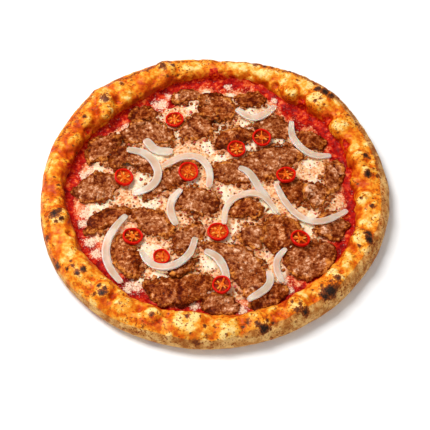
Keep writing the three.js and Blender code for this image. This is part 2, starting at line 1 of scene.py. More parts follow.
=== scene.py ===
"""A kebab pizza, dressed for the camera: baked crust, sauce, cheese, meat, onion and chilli.

Every piece is worked out from the frame's solids. Lengths are in metres, +Z is up, and
the sizes of small things are given in millimetres times MM.
"""

import itertools
import math

import bmesh
import bpy
import numpy as np
from mathutils import Matrix, Vector
from mathutils.kdtree import KDTree


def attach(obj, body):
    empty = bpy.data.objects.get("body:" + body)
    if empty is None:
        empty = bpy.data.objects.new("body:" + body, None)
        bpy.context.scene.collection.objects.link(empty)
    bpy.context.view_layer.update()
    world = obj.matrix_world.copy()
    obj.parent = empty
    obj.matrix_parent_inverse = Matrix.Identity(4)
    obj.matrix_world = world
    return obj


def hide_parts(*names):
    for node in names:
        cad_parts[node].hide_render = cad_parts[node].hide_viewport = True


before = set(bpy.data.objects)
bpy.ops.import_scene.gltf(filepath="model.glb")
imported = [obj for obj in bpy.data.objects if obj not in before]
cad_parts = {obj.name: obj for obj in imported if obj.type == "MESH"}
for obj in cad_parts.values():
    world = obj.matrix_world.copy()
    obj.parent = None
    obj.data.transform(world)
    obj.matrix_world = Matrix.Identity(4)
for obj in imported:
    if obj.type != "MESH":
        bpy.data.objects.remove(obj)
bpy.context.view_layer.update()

MM = 0.001
LEVEL = (1, 1, 0)  # times a point, leaves out its height
TURN = 2 * math.pi
ROOT = "root"

# ---- Camera ----

PHOTO_SIZE = 430  # pixels, both ways
FOCAL_LENGTH = 1241.9  # pixels
SENSOR_WIDTH = 36  # millimetres
ELEVATION = math.radians(56.5)
ROLL = math.radians(1.6)  # the right side of the picture is a little low
AIM = Vector((-0.06, -18.5, 5.6)) * MM
DISTANCE = 1.05
MISSED_HEIGHT = 10 * MM  # taken for a pixel that doesn't show the solids

BACK = Vector((0, -math.cos(ELEVATION), math.sin(ELEVATION)))
LEVEL_UP = Vector((0, math.sin(ELEVATION), math.cos(ELEVATION)))
RIGHT = math.cos(ROLL) * Vector((1, 0, 0)) + math.sin(ROLL) * LEVEL_UP
UP = math.cos(ROLL) * LEVEL_UP - math.sin(ROLL) * Vector((1, 0, 0))
EYE = AIM + DISTANCE * BACK


def make_camera():
    data = bpy.data.cameras.new("camera")
    data.sensor_width = SENSOR_WIDTH
    data.lens = SENSOR_WIDTH * FOCAL_LENGTH / PHOTO_SIZE
    camera = bpy.data.objects.new("camera", data)
    bpy.context.scene.collection.objects.link(camera)
    axes = Matrix((RIGHT, UP, BACK)).transposed()
    camera.matrix_world = Matrix.Translation(EYE) @ axes.to_4x4()
    bpy.context.scene.camera = camera


def sight(column, row):
    """The direction from the eye through a pixel of the photograph."""
    across = (column - PHOTO_SIZE / 2) / FOCAL_LENGTH
    down = (row - PHOTO_SIZE / 2) / FOCAL_LENGTH
    return (RIGHT * across - UP * down - BACK).normalized()


def seen_at_height(column, row, height):
    """The place that a pixel shows on a level plane."""
    direction = sight(column, row)
    return EYE + direction * ((height - EYE.z) / direction.z)


def seen_on_frame(column, row):
    """The place that a pixel shows on the frame's solids."""
    scene = bpy.context.scene
    depsgraph = bpy.context.evaluated_depsgraph_get()
    hit, place, *_ = scene.ray_cast(depsgraph, EYE, sight(column, row))
    return place if hit else seen_at_height(column, row, MISSED_HEIGHT)


def located(spots):
    """Spots of the photograph as places on the frame, with radii in metres and strengths."""
    return [(seen_on_frame(column, row), radius * MM, strength)
            for column, row, radius, strength in spots]


# ---- Numbers and noise ----


def smooth_step(low, high, value):
    t = np.clip((value - low) / (high - low), 0, 1)
    return t * t * (3 - 2 * t)


def hashed(cell, seed):
    """A repeatable number from 0 to 1 for each whole-numbered cell of space."""
    x, y, z = np.moveaxis(cell.astype(np.int64).astype(np.uint32), -1, 0)
    salt = np.uint32((seed * 0x27D4EB2F) & 0xFFFFFFFF)
    n = (x * np.uint32(0x9E3779B1)) ^ (y * np.uint32(0x85EBCA77)) ^ (z * np.uint32(0xC2B2AE3D)) ^ salt
    n = (n ^ (n >> np.uint32(15))) * np.uint32(0x2C1B3C6D)
    n = (n ^ (n >> np.uint32(12))) * np.uint32(0x297A2D39)
    return (n ^ (n >> np.uint32(15))) / 0xFFFFFFFF


def noise(points, size, seed, octaves=2):
    """Smooth noise from about -1 to 1, with lumps of the given size."""
    total = np.zeros(len(points))
    weights = [0.5**octave for octave in range(octaves)]
    for octave, weight in enumerate(weights):
        place = points * (2**octave / size)
        cell = np.floor(place)
        t = place - cell
        t = t * t * (3 - 2 * t)
        for corner in itertools.product((0, 1), repeat=3):
            share = np.prod(np.where(np.array(corner, bool), t, 1 - t), axis=-1)
            total += weight * share * (2 * hashed(cell + corner, seed + octave) - 1)
    return 1.6 * total / sum(weights)


def grains(points, size, seed):
    """How far the nearest of many scattered grains is, in grain sizes, and its own number."""
    place = points / size
    cell = np.floor(place)
    nearest = np.full(len(points), 9.0)
    number = np.zeros(len(points))
    for step in itertools.product((-1, 0, 1), repeat=3):
        near = cell + step
        grain = np.stack([hashed(near, seed + axis) for axis in range(3)], axis=-1)
        distance = np.linalg.norm(near + grain - place, axis=-1)
        closer = distance < nearest
        nearest[closer] = distance[closer]
        number[closer] = grain[closer, 0]
    return nearest, number


def between(values, places, closed):
    """Smooth values at fractional places along the first axis of a list of values."""
    first = np.floor(places).astype(int)
    t = (places - first).reshape((-1,) + (1,) * (values.ndim - 1))
    steps = [first + step for step in (-1, 0, 1, 2)]
    last = len(values) - 1
    a, b, c, d = (values[s % len(values) if closed else np.clip(s, 0, last)] for s in steps)
    return b + 0.5 * t * (c - a + t * (2 * a - 5 * b + 4 * c - d + t * (3 * (b - c) + d - a)))


def spots_mask(points, spots, seed, blur):
    """1 inside ragged spots, given by place, radius and strength, and 0 outside them."""
    mask = np.zeros(len(points))
    wander = 1 + 0.35 * noise(points, 3 * MM, seed)
    for place, radius, strength in spots:
        distance = np.linalg.norm(points - np.array(place), axis=1) * wander / radius
        mask = np.maximum(mask, strength * (1 - smooth_step(1 - blur, 1 + blur, distance)))
    return mask


def domes(points, size, seed):
    """Rounded lumps side by side with creases between them, from about -1 to 1."""
    distance, number = grains(points, size, seed)
    return (1 - 2.2 * distance**2) * (0.6 + 0.4 * number)


def below_ceiling(heights, ceiling, ease=1.5 * MM):
    """Heights with those near the ceiling eased in below it."""
    over = np.maximum(heights - (ceiling - ease), 0)
    return heights - over + ease * (1 - np.exp(-over / ease))


# ---- Meshes ----


def welded(name):
    """Corners and triangles of a node, with the corners that faces share made one."""
    mesh = bmesh.new()
    mesh.from_mesh(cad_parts[name].data)
    bmesh.ops.remove_doubles(mesh, verts=mesh.verts, dist=0.02 * MM)
    bmesh.ops.triangulate(mesh, faces=mesh.faces)
    vertices = np.array([vertex.co for vertex in mesh.verts])
    triangles = np.array([[vertex.index for vertex in face.verts] for face in mesh.faces])
    mesh.free()
    return vertices, triangles


def frame_top(name):
    """Height of a node's highest corner."""
    return max(vertex.co.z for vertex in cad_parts[name].data.vertices)


def new_mesh(name, vertices, *face_lists):
    """A smooth mesh from arrays of corners and of faces, each array of one size of face."""
    mesh = bpy.data.meshes.new(name)
    corners = np.concatenate([np.asarray(faces).ravel() for faces in face_lists])
    sizes = np.concatenate([np.full(len(faces), len(faces[0])) for faces in face_lists])
    starts = np.concatenate([[0], np.cumsum(sizes)[:-1]])
    mesh.vertices.add(len(vertices))
    mesh.vertices.foreach_set("co", np.asarray(vertices, np.float32).ravel())
    mesh.loops.add(len(corners))
    mesh.loops.foreach_set("vertex_index", corners.astype(np.int32))
    mesh.polygons.add(len(sizes))
    mesh.polygons.foreach_set("loop_start", starts.astype(np.int32))
    mesh.polygons.foreach_set("use_smooth", np.ones(len(sizes), bool))
    mesh.update(calc_edges=True)
    mesh.validate()
    return mesh


def vertex_normals(mesh):
    normals = np.empty(3 * len(mesh.vertices), np.float32)
    mesh.vertices.foreach_get("normal", normals)
    return normals.reshape(-1, 3).astype(float)


def capped(count, columns, outward=1):
    """Faces of rings of corners, laid one after the other, and of one corner inside each end."""
    column = np.arange(columns)
    beside, last = (column + 1) % columns, (count - 1) * columns
    ring = np.arange(count - 1)[:, None] * columns
    quads = np.stack([ring + column, ring + beside, ring + columns + beside,
                      ring + columns + column], axis=-1).reshape(-1, 4)
    centre = np.full(columns, count * columns)
    fans = np.concatenate([np.stack([beside, column, centre], axis=-1),
                           np.stack([last + column, last + beside, centre + 1], axis=-1)])
    return quads[:, ::outward], fans[:, ::outward]


def add_piece(name, mesh, material, slot, replaced=(), **attributes):
    """Makes the mesh a piece of the pizza, with numbers on its corners for the material."""
    for attribute, values in attributes.items():
        layer = mesh.attributes.new(attribute, "FLOAT", "POINT")
        layer.data.foreach_set("value", np.asarray(values, np.float32))
    mesh.materials.append(material)
    piece = bpy.data.objects.new(name, mesh)
    bpy.context.scene.collection.objects.link(piece)
    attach(piece, ROOT)
    if replaced:
        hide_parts(*replaced)


def rounded(name, voxel):
    """A node's solid with small even faces and rounded edges: corners, quads and normals."""
    vertices, triangles = welded(name)
    rough = bpy.data.objects.new("rough", new_mesh("rough", vertices, triangles))
    bpy.context.scene.collection.objects.link(rough)
    remesh = rough.modifiers.new("remesh", "REMESH")
    remesh.mode = "VOXEL"
    remesh.voxel_size = voxel
    rough.modifiers.new("smooth", "SMOOTH")
    depsgraph = bpy.context.evaluated_depsgraph_get()
    mesh = bpy.data.meshes.new_from_object(rough.evaluated_get(depsgraph))
    corners = np.empty(3 * len(mesh.vertices), np.float32)
    mesh.vertices.foreach_get("co", corners)
    quads = np.array([polygon.vertices[:] for polygon in mesh.polygons])
    normals = vertex_normals(mesh)
    bpy.data.objects.remove(rough)
    return corners.reshape(-1, 3).astype(float), quads, normals


def ball_mesh():
    shape = bmesh.new()
    bmesh.ops.create_icosphere(shape, subdivisions=2, radius=1)
    vertices = np.array([vertex.co for vertex in shape.verts])
    faces = np.array([[vertex.index for vertex in face.verts] for face in shape.faces])
    shape.free()
    return vertices, faces


# ---- Materials ----

ROUGHNESS_SPREAD = 0.3  # how much rougher a pattern makes a surface at most


def colour(red, green, blue):
    """A colour as a screen shows it, 0 to 255, made linear."""
    def linear(value):
        share = value / 255
        return share / 12.92 if share <= 0.04045 else ((share + 0.055) / 1.055) ** 2.4
    return (linear(red), linear(green), linear(blue), 1)


class Finish:
    """A material, with short words for the nodes that it is made of."""

    def __init__(self, name, **numbers):
        self.material = bpy.data.materials.new(name)
        self.material.use_nodes = True
        self.tree = self.material.node_tree
        self.shader = next(n for n in self.tree.nodes if n.type == "BSDF_PRINCIPLED")
        for socket, value in numbers.items():
            self.shader.inputs[socket.replace("_", " ")].default_value = value
        self.place = self.tree.nodes.new("ShaderNodeTexCoord").outputs["Object"]

    def feed(self, socket, value):
        if isinstance(value, bpy.types.NodeSocket):
            self.tree.links.new(value, socket)
        else:
            socket.default_value = value

    def node(self, kind, inputs, **settings):
        """A node with its settings, and its inputs fed by number or name."""
        made = self.tree.nodes.new("ShaderNode" + kind)
        for setting, value in settings.items():
            setattr(made, setting, value)
        for socket, value in inputs.items():
            self.feed(made.inputs[socket], value)
        return made

    def mark(self, name):
        """A number kept on the mesh's corners."""
        return self.node("Attribute", {}, attribute_name=name).outputs["Fac"]

    def noise(self, size, detail=2.0):
        """Smooth noise from 0 to 1, with lumps of the given size in mm."""
        inputs = {"Vector": self.place, "Scale": 1 / (size * MM), "Detail": detail}
        return self.node("TexNoise", inputs).outputs["Fac"]

    def maths(self, operation, first, second, clamp=False):
        inputs = {0: first, 1: second}
        return self.node("Math", inputs, operation=operation, use_clamp=clamp).outputs[0]

    def varied(self, value, *patterns):
        """The value, raised and lowered by patterns from 0 to 1, each with its strength."""
        for pattern, strength in patterns:
            swing = self.maths("MULTIPLY", self.maths("SUBTRACT", pattern, 0.5), strength)
            value = self.maths("ADD", value, swing)
        return value

    def step(self, value, low, high):
        """0 below low, 1 above high and smooth between them."""
        inputs = {"Value": value, "From Min": low, "From Max": high}
        return self.node("MapRange", inputs, interpolation_type="SMOOTHSTEP").outputs["Result"]

    def ramp(self, value, *stops):
        """Colours that follow a value, each stop as its position, red, green and blue."""
        made = self.node("ValToRGB", {"Fac": value})
        elements = made.color_ramp.elements
        while len(elements) < len(stops):
            elements.new(0.5)
        for element, (position, *tint) in zip(elements, stops):
            element.position = position
            element.color = colour(*tint)
        return made.outputs["Color"]

    def mix(self, share, first, second, strength=1.0):
        if strength < 1:
            share = self.maths("MULTIPLY", share, strength)
        inputs = {"Factor": share, 6: first, 7: second}
        return self.node("Mix", inputs, data_type="RGBA").outputs[2]

    def relief(self, *layers):
        """Fine bumps from pairs of a pattern and its height in mm."""
        normal = {}
        for pattern, height in layers:
            bump = self.node("Bump", {"Height": pattern, "Distance": height * MM} | normal)
            normal = {"Normal": bump.outputs["Normal"]}
        self.feed(self.shader.inputs["Normal"], normal["Normal"])

    def finished(self, base, roughness=0.0, pattern=None):
        """The material with its colour and, where a pattern is given, its uneven roughness."""
        self.feed(self.shader.inputs["Base Color"], base)
        if pattern:
            rougher = self.maths("MULTIPLY", pattern, ROUGHNESS_SPREAD)
            self.feed(self.shader.inputs["Roughness"], self.maths("ADD", roughness, rougher))
        return self.material


def crust_finish():
    f = Finish("crust", Specular_IOR_Level=0.1, Subsurface_Weight=0.08, Subsurface_Scale=2 * MM,
               Coat_Weight=0.03, Coat_Roughness=0.25)
    broad, patchy, fine, tiny = f.noise(22), f.noise(7, 3), f.noise(2.2, 3), f.noise(1.3)
    flour = f.mark("flour")
    # The crust's colour level: its baking, with painted highlight and painted shade.
    base = f.ramp(f.varied(f.mark("bulge"), (patchy, 1.3), (fine, 0.65)),
                  (0.02, 178, 50, 0), (0.2, 198, 70, 0), (0.4, 216, 98, 6),
                  (0.58, 234, 136, 24), (0.76, 242, 172, 62), (0.96, 252, 214, 134))
    floury = f.ramp(f.varied(0.55, (tiny, 0.3), (patchy, 0.7), (flour, 0.1)),
                    (0.48, 166, 94, 32), (0.58, 202, 138, 68), (0.68, 232, 182, 110))
    base = f.mix(f.step(flour, 0.3, 0.7), base, floury)
    spread = f.maths("ADD", f.step(broad, 0.35, 0.6), f.mark("toast"), clamp=True)
    freckles = f.maths("MULTIPLY", f.step(f.noise(1.9, 1.5), 0.55, 0.65), spread)
    base = f.mix(freckles, base, f.ramp(tiny, (0.4, 96, 34, 6), (0.55, 166, 68, 8)), 0.9)
    stain = f.step(f.varied(f.mark("stain"), (fine, 0.5)), 0.3, 0.6)
    red = f.ramp(fine, (0.35, 146, 2, 0), (0.5, 186, 12, 0), (0.68, 222, 78, 10))
    base = f.mix(stain, base, red)
    scorch = f.varied(f.mark("scorch"), (tiny, 1.3))
    burnt = f.ramp(scorch, (0.2, 184, 84, 14), (0.5, 132, 60, 16), (0.8, 84, 42, 18),
                   (1.0, 38, 24, 16))
    base = f.mix(f.step(scorch, 0.15, 0.5), base, burnt)
    f.relief((f.noise(1.1, 3), 0.25), (patchy, 0.5))
    return f.finished(base, 0.45, f.step(flour, 0, 1))


def sauce_finish():
    f = Finish("sauce", Coat_Weight=0.02, Coat_Roughness=0.2, Specular_IOR_Level=0.06,
               Subsurface_Weight=0.05, Subsurface_Scale=2 * MM)
    broad, lumps, fine = f.noise(9), f.noise(3.2, 3), f.noise(1.2)
    # Colour follows the lumps: painted highlight on their tops and painted shade in the hollows, over the
    # sauce's own reds.
    base = f.ramp(f.varied(f.mark("lump"), (lumps, 1.6), (broad, 0.8)),
                  (0.1, 116, 0, 0), (0.35, 146, 2, 0), (0.6, 176, 14, 2),
                  (0.8, 206, 48, 8), (1.0, 226, 100, 46))
    curds = f.step(f.varied(f.mark("milky"), (fine, 1.4), (broad, 2.0)), 0.5, 1.0)
    milky = f.ramp(lumps, (0.35, 206, 76, 26), (0.5, 226, 132, 82), (0.65, 240, 186, 142))
    base = f.mix(curds, base, milky)
    pool = f.step(f.varied(f.mark("pool"), (fine, 2.4)), 0.25, 1.1)
    base = f.mix(pool, base, f.ramp(fine, (0.3, 236, 192, 148), (0.6, 246, 222, 194)), 0.85)
    f.relief((fine, 0.2), (lumps, 0.4))
    return f.finished(base, 0.4, fine)


def cheese_finish():
    f = Finish("cheese", Coat_Weight=0.1, Coat_Roughness=0.2, Specular_IOR_Level=0.2,
               Subsurface_Weight=0.5, Subsurface_Scale=2 * MM)
    broad, fine, tiny = f.noise(6, 3), f.noise(2.2), f.noise(0.9)
    cream = f.ramp(fine, (0.24, 230, 180, 132), (0.38, 238, 206, 166), (0.56, 242, 222, 194))
    mixed = f.ramp(fine, (0.28, 186, 92, 38), (0.4, 218, 138, 80), (0.5, 232, 176, 126),
                   (0.64, 240, 204, 162))
    pool = f.step(f.varied(f.mark("pool"), (broad, 1.2)), 0.0, 0.35)
    base = f.mix(pool, mixed, cream)
    pink = f.step(f.varied(f.mark("thin"), (tiny, 1.4)), 0.4, 0.8)
    base = f.mix(pink, base, f.ramp(tiny, (0.4, 176, 24, 6), (0.6, 222, 100, 56)))
    grease = f.maths("MULTIPLY", f.step(f.mark("beside"), 0.2, 0.9), f.step(fine, 0.3, 0.6))
    base = f.mix(grease, base, colour(188, 92, 28), 0.75)
    red = f.maths("MULTIPLY", f.step(broad, 0.6, 0.68), f.step(fine, 0.48, 0.62))
    base = f.mix(red, base, colour(190, 40, 12), 0.8)
    f.relief((fine, 0.4), (tiny, 0.1))
    return f.finished(base, 0.25, fine)


def meat_finish():
    f = Finish("meat", Coat_Weight=0.01, Coat_Roughness=0.2, Specular_IOR_Level=0.03)
    broad, fine, tiny = f.noise(6), f.noise(2.4, 3), f.noise(1.0)
    # The grain mark follows the raised lumps and fibres: the ramps' light ends paint glints on them and
    # their dark ends painted shade between them, over the meat's own mottling.
    height = f.varied(f.mark("grain"), (fine, 1.5), (tiny, 0.9))
    warm = f.ramp(height, (0.0, 76, 14, 0), (0.3, 122, 44, 4), (0.52, 158, 76, 26),
                  (0.72, 188, 110, 60), (0.95, 236, 170, 120))
    pale = f.ramp(height, (0.0, 84, 20, 0), (0.3, 138, 64, 22), (0.52, 170, 100, 56),
                  (0.72, 200, 136, 96), (0.95, 246, 196, 162))
    browned = f.ramp(height, (0.05, 74, 18, 0), (0.4, 132, 52, 4), (0.85, 220, 136, 58))
    base = f.mix(f.step(f.varied(f.mark("tone"), (broad, 2.0)), 0.1, 0.9), warm, pale)
    base = f.mix(f.step(f.varied(f.mark("rim"), (broad, 1.6)), 0.15, 0.7), base, browned)
    # Painted shade in the pits and a painted shadow along each slice's outline.
    base = f.mix(f.mark("pit"), base, colour(84, 16, 0))
    f.relief((fine, 0.4), (tiny, 0.2))
    return f.finished(base, 0.35, tiny)


def onion_finish():
    f = Finish("onion", Coat_Weight=0.25, Coat_Roughness=0.1, Specular_IOR_Level=0.3,
               Subsurface_Weight=0.3, Subsurface_Scale=2.5 * MM, Roughness=0.25,
               Transmission_Weight=0.5, IOR=1.12)
    tint = f.ramp(f.noise(12), (0.36, 240, 208, 180), (0.5, 245, 222, 198),
                  (0.64, 250, 240, 226))
    base = f.mix(f.mark("stripe"), tint, colour(214, 172, 142), 0.3)
    # Painted highlight along the strip's edges and walls.
    base = f.mix(f.mark("edge"), base, colour(255, 250, 240))
    f.relief((f.noise(1.2), 0.08))
    return f.finished(base)


def chilli_finish():
    f = Finish("chilli", Coat_Weight=0.06, Coat_Roughness=0.08, Roughness=0.3,
               Specular_IOR_Level=0.04, Subsurface_Weight=0.05, Subsurface_Scale=1.5 * MM)
    fine = f.noise(1.4)
    skin = f.ramp(fine, (0.35, 200, 10, 2), (0.6, 222, 28, 10))
    core = f.ramp(fine, (0.35, 196, 58, 4), (0.6, 230, 116, 26))
    # Painted shade on the floor of the chambers.
    hollow = f.ramp(fine, (0.4, 110, 16, 0), (0.65, 170, 52, 0))
    base = f.mix(f.mark("hollow"), f.mix(f.mark("core"), skin, core), hollow)
    base = f.mix(f.mark("seed"), base, colour(236, 158, 64))
    f.relief((fine, 0.12))
    return f.finished(base)


def crumb_finish(name, dark, light):
    f = Finish(name, Roughness=0.5, Coat_Weight=0.15, Coat_Roughness=0.3)
    fine = f.noise(1.2, 3)
    f.relief((fine, 0.3))
    return f.finished(f.ramp(fine, (0.35, *dark), (0.65, *light)))


# ---- Crust ----

SECTION_CORNERS = 13  # corners of the crust's section in the frame, from its foot to the floor inside
CORE_HEIGHT = 8 * MM  # middle of the rim's section
CRUST_COLUMNS = 960
CRUST_SPACING = 0.85 * MM
UNDERSIDE_RINGS = 12

# Places on the rim, each as column and row in the photograph, radius in mm, and then the
# height of the bubbles and the depth of the creases in mm, or the strength of the others.
BUBBLES = [
    (104, 97, 8, 1.8), (106, 112, 8.5, 4.2), (289, 92, 10, 4.2), (317, 102, 12.5, 3), (338, 129, 11, 4),
    (358, 159, 9.5, 3.6), (366, 173, 8, 2.2), (354, 184, 7.5, 3.6), (362, 199, 10, 3.2),
    (356, 211, 5, 1.6), (360, 237, 11, 2.8), (348, 264, 7, 2), (338, 279, 7, 1.6), (328, 290, 9, 1.6),
    (296, 305, 10, 3.2), (259, 321, 12, 2.6), (225, 331, 9, 1.4), (186, 320, 14, 3), (152, 315, 8, 3.2),
    (122, 304, 10, 2.4), (103, 289, 9, 3), (81, 268, 11, 2.2), (69, 249, 9, 1.6), (59, 215, 11, 2.8),
    (61, 190, 8, 1.6), (64, 165, 9, 1.8), (76, 142, 10, 2), (85, 122, 8, 1.4), (122, 88, 9, 1.4),
    (146, 78, 9, 1.4), (168, 70, 9, 1.6), (188, 69, 9, 1.4), (240, 70, 9, 1.4), (265, 75, 9, 1.8),
]
CREASES = [
    (303, 100, 5, 3.4), (303, 108, 5.5, 3.4), (328, 119, 5.5, 3.4), (347, 144, 5, 3.2),
    (350, 170, 4, 2.6), (362, 187, 3, 1.4), (349, 192, 4, 2.4), (353, 215, 5, 3), (353, 250, 5, 2.6),
    (341, 271, 4, 2.2), (313, 299, 5, 2.6), (279, 313, 5, 2.8), (240, 322, 5, 2.6), (208, 321, 5, 2.4),
    (167, 315, 4.5, 2.8), (139, 309, 4.5, 2.6), (112, 297, 4.5, 2.6), (92, 279, 4, 2.2),
    (70, 234, 4.5, 2.4), (66, 202, 4, 2.2), (69, 178, 4, 1.8), (70, 153, 4, 1.8), (88, 131, 4.5, 2.4),
    (94, 104, 3, 1.2), (117, 101, 5.5, 3.2), (96, 112, 4, 2.4), (276, 86, 4.5, 2.6), (178, 76, 3, 1.2),
    (157, 78, 3, 1.2),
]
SCORCHES = [
    (104, 97, 4.2, 0.6), (106, 99, 2.2, 0.85), (84.5, 117, 1.8, 1), (163, 67.5, 3.4, 0.75),
    (172.5, 66.7, 2.2, 0.85), (167, 61.3, 1.8, 0.8), (148, 72, 2, 0.6), (122, 85, 2.4, 0.6),
    (132, 80, 1.6, 0.5), (167, 76, 1.2, 0.8), (178, 75, 1, 0.8), (207, 59, 1.8, 0.6),
    (255, 65, 2.6, 0.65), (264, 66.5, 2.6, 0.7), (272, 68, 2, 0.6), (290, 72.5, 2.6, 0.95),
    (297, 81, 1.4, 0.8), (318, 89.5, 3.2, 0.95), (325, 92, 4, 1.1), (331, 96, 3, 1), (316, 101, 1.4, 0.8),
    (321, 98, 1.4, 0.7), (313, 106, 1, 0.7), (324, 104, 1, 0.7), (348, 115, 1.4, 0.7),
    (357, 125, 1.8, 0.8), (345, 124, 1, 0.6), (340, 133, 1, 0.6), (365.6, 155.6, 2.4, 1.1),
    (369, 158, 1.6, 0.8), (360, 152, 1.2, 0.7), (367.5, 174.4, 2.8, 1.1), (364.4, 167, 1.2, 0.9),
    (377.5, 176, 1.8, 0.7), (373, 169, 1.2, 0.6), (354, 183, 1.2, 0.8), (358, 184, 1.2, 0.8),
    (391, 181, 2.8, 1), (386, 179.5, 1.4, 0.6), (363, 200, 1.6, 0.8), (373, 199, 1, 0.9),
    (372, 206, 2.2, 0.85), (366, 209, 1.2, 0.6), (369, 234, 3.4, 1), (369, 240, 3.4, 1.15),
    (363, 231, 2.2, 0.6), (356, 237, 1.2, 0.8), (359.5, 246, 1.4, 0.9), (338, 279, 2.2, 0.85),
    (331, 281, 1.6, 0.6), (330, 291, 5, 1.15), (325, 296, 3.6, 1), (336, 286, 2.6, 0.75),
    (322, 286, 1.4, 0.7), (313, 290, 1.4, 0.6), (293, 302.5, 1.4, 0.8), (299, 304, 1.6, 0.85),
    (305, 312.5, 3.4, 0.95), (297, 309.5, 2, 0.8), (301, 308, 1.4, 0.7), (248, 322.5, 2.8, 0.6),
    (243, 327, 1.6, 0.8), (263, 329, 3.4, 1.1), (257, 324, 2.2, 0.75), (267, 321, 1.8, 0.8),
    (273, 323, 1.8, 0.85), (271, 329, 1.4, 0.7), (205, 326, 1.6, 0.8), (200, 317.5, 1.2, 0.7),
    (187.5, 318, 1.8, 0.75), (181, 320, 1, 0.7), (191, 333, 1.2, 0.6), (151.5, 316, 1.8, 0.75),
    (197, 343, 3, 0.7), (207, 336, 1.8, 0.5), (143, 326, 1.8, 0.5), (99, 287, 1.8, 0.95),
    (105, 289, 1.6, 0.9), (102.5, 293, 2.6, 1), (95, 294, 1.6, 0.8), (73, 266, 1.6, 0.95),
    (83, 269.5, 1.9, 1.05), (77.5, 273, 1.9, 1.05), (67.5, 269, 1.6, 0.95), (71, 261, 1, 0.7),
    (57.5, 266, 3.4, 0.9), (54, 260, 2, 0.6), (54.5, 214, 4.2, 0.95), (60.5, 219, 2.2, 1),
    (59, 210, 2, 1), (66, 215, 1.4, 0.9), (56, 222, 1.6, 0.8), (41.5, 220, 2.4, 0.7), (47, 237.5, 3, 0.7),
    (41.5, 195, 1.4, 0.7), (58, 186, 1.3, 0.9), (54, 177.5, 1.1, 0.7), (72.5, 146, 1.2, 0.7),
    (77.5, 153, 1.2, 0.7), (76, 136, 1.4, 0.6), (86, 134, 1.2, 0.6),
]
# Sauce smeared on the rim.
SMEARS = [
    (214, 74, 5, 1.1), (216, 79, 7, 1.3), (207, 83, 6, 1.1), (222, 80, 5, 1.1), (192, 88, 4, 0.8),
    (178, 89, 4, 0.7), (160, 91, 4, 0.6), (232, 78, 3, 0.8), (244, 80, 3, 0.6), (257, 84, 3, 0.8),
    (68, 166, 3.5, 0.7), (70, 177, 4.5, 0.8), (67, 187, 3.5, 0.8), (69, 198, 4, 0.9), (74, 228, 3, 0.8),
    (79, 244, 3, 0.8), (85, 256, 3, 0.8), (303, 106, 5, 1), (327, 121, 4.5, 1), (346, 146, 4.5, 0.9),
    (349, 170, 3.5, 0.9), (89, 131, 3, 0.7), (348, 193, 3.5, 0.9), (351, 214, 4.5, 0.9),
    (188, 318, 1.8, 0.8), (152, 317, 1.6, 0.8),
]
# Where the rim is a deeper orange, and where it is paler: partly its own baking, partly painted shade and
# painted light on its inner slope.
BLUSHES = [
    (70, 150, 12, 1), (78, 128, 10, 0.9), (64, 172, 9, 0.8), (100, 116, 9, 0.5), (120, 97, 9, 0.5),
    (150, 88, 11, 1.1), (175, 86, 9, 0.8), (150, 80, 9, 0.8), (165, 80, 9, 0.8), (57, 185, 11, 1.2),
    (350, 135, 8, 0.7), (265, 88, 7, 0.3), (290, 102, 7, 0.7), (317, 114, 8, 0.7), (338, 141, 7, 0.7),
    (352, 165, 7, 0.7), (350, 188, 7, 0.8), (350, 212, 8, 0.6), (352, 245, 7, 0.5), (68, 205, 8, 0.8),
    (74, 232, 8, 0.8), (84, 254, 8, 0.7), (108, 298, 8, 0.5), (165, 318, 6, 0.5), (209, 325, 7, 0.3),
    (243, 326, 6, 0.5), (281, 317, 7, 0.6), (46, 180, 8, 0.5), (44, 240, 9, 0.6), (56, 262, 9, 0.6),
]
PALE_PLACES = [
    (190, 69, 10, 1), (250, 73, 10, 1.4), (230, 68, 7, 0.6), (372, 220, 9, 0.9), (360, 205, 7, 0.6),
    (346, 268, 8, 0.8), (350, 258, 6, 0.6), (215, 333, 9, 0.8), (228, 330, 7, 0.6), (186, 322, 9, 0.6),
    (300, 304, 7, 0.5), (335, 275, 6, 0.5), (72, 258, 8, 0.4), (108, 112, 6, 0.7), (310, 86, 7, 0.4),
    (340, 125, 7, 0.4), (351, 152, 6, 0.5), (60, 226, 7, 0.4),
]


def crust_sections():
    """The frame's crust as radius and height of its sections, and the middle of its inside."""
    vertices, _ = welded("crust")
    from_axis = np.hypot(vertices[:, 0], vertices[:, 1])
    middle = vertices[np.argmin(from_axis), :2]
    offset = vertices[:, :2] - middle
    radius = np.hypot(*offset.T)
    corners = radius > 10 * MM
    radius, height = radius[corners], vertices[corners, 2]
    angle = np.arctan2(offset[corners, 1], offset[corners, 0])
    columns = len(radius) // SECTION_CORNERS
    column = np.round(angle / TURN * columns).astype(int) % columns
    widest = np.array([radius[column == i].max() for i in range(columns)])
    narrowest = np.array([radius[column == i].min() for i in range(columns)])
    core = 0.5 * (widest + narrowest)
    direction = np.arctan2(height - CORE_HEIGHT, radius - core[column])
    direction = np.where(direction < -TURN / 4, direction + TURN, direction)
    order = np.lexsort((direction, column))
    sections = np.stack([radius[order], height[order]], axis=-1)
    return sections.reshape(columns, SECTION_CORNERS, 2), middle


SECTIONS, MIDDLE = crust_sections()
COLUMN_ANGLES = np.arange(CRUST_COLUMNS) / CRUST_COLUMNS * TURN
FINE_SECTIONS = between(SECTIONS, np.arange(CRUST_COLUMNS) * len(SECTIONS) / CRUST_COLUMNS, True)
INNER_RADII = FINE_SECTIONS[:, -2, 0]  # inner face of the rim
OUTER_RADII = FINE_SECTIONS[..., 0].max(axis=1)


def polar(points):
    """Angle and distance of points from the middle of the rim."""
    offset = points[:, :2] - MIDDLE
    return np.arctan2(offset[:, 1], offset[:, 0]), np.hypot(*offset.T)


def inner_radius(angle):
    return np.interp(angle % TURN, COLUMN_ANGLES, INNER_RADII, period=TURN)


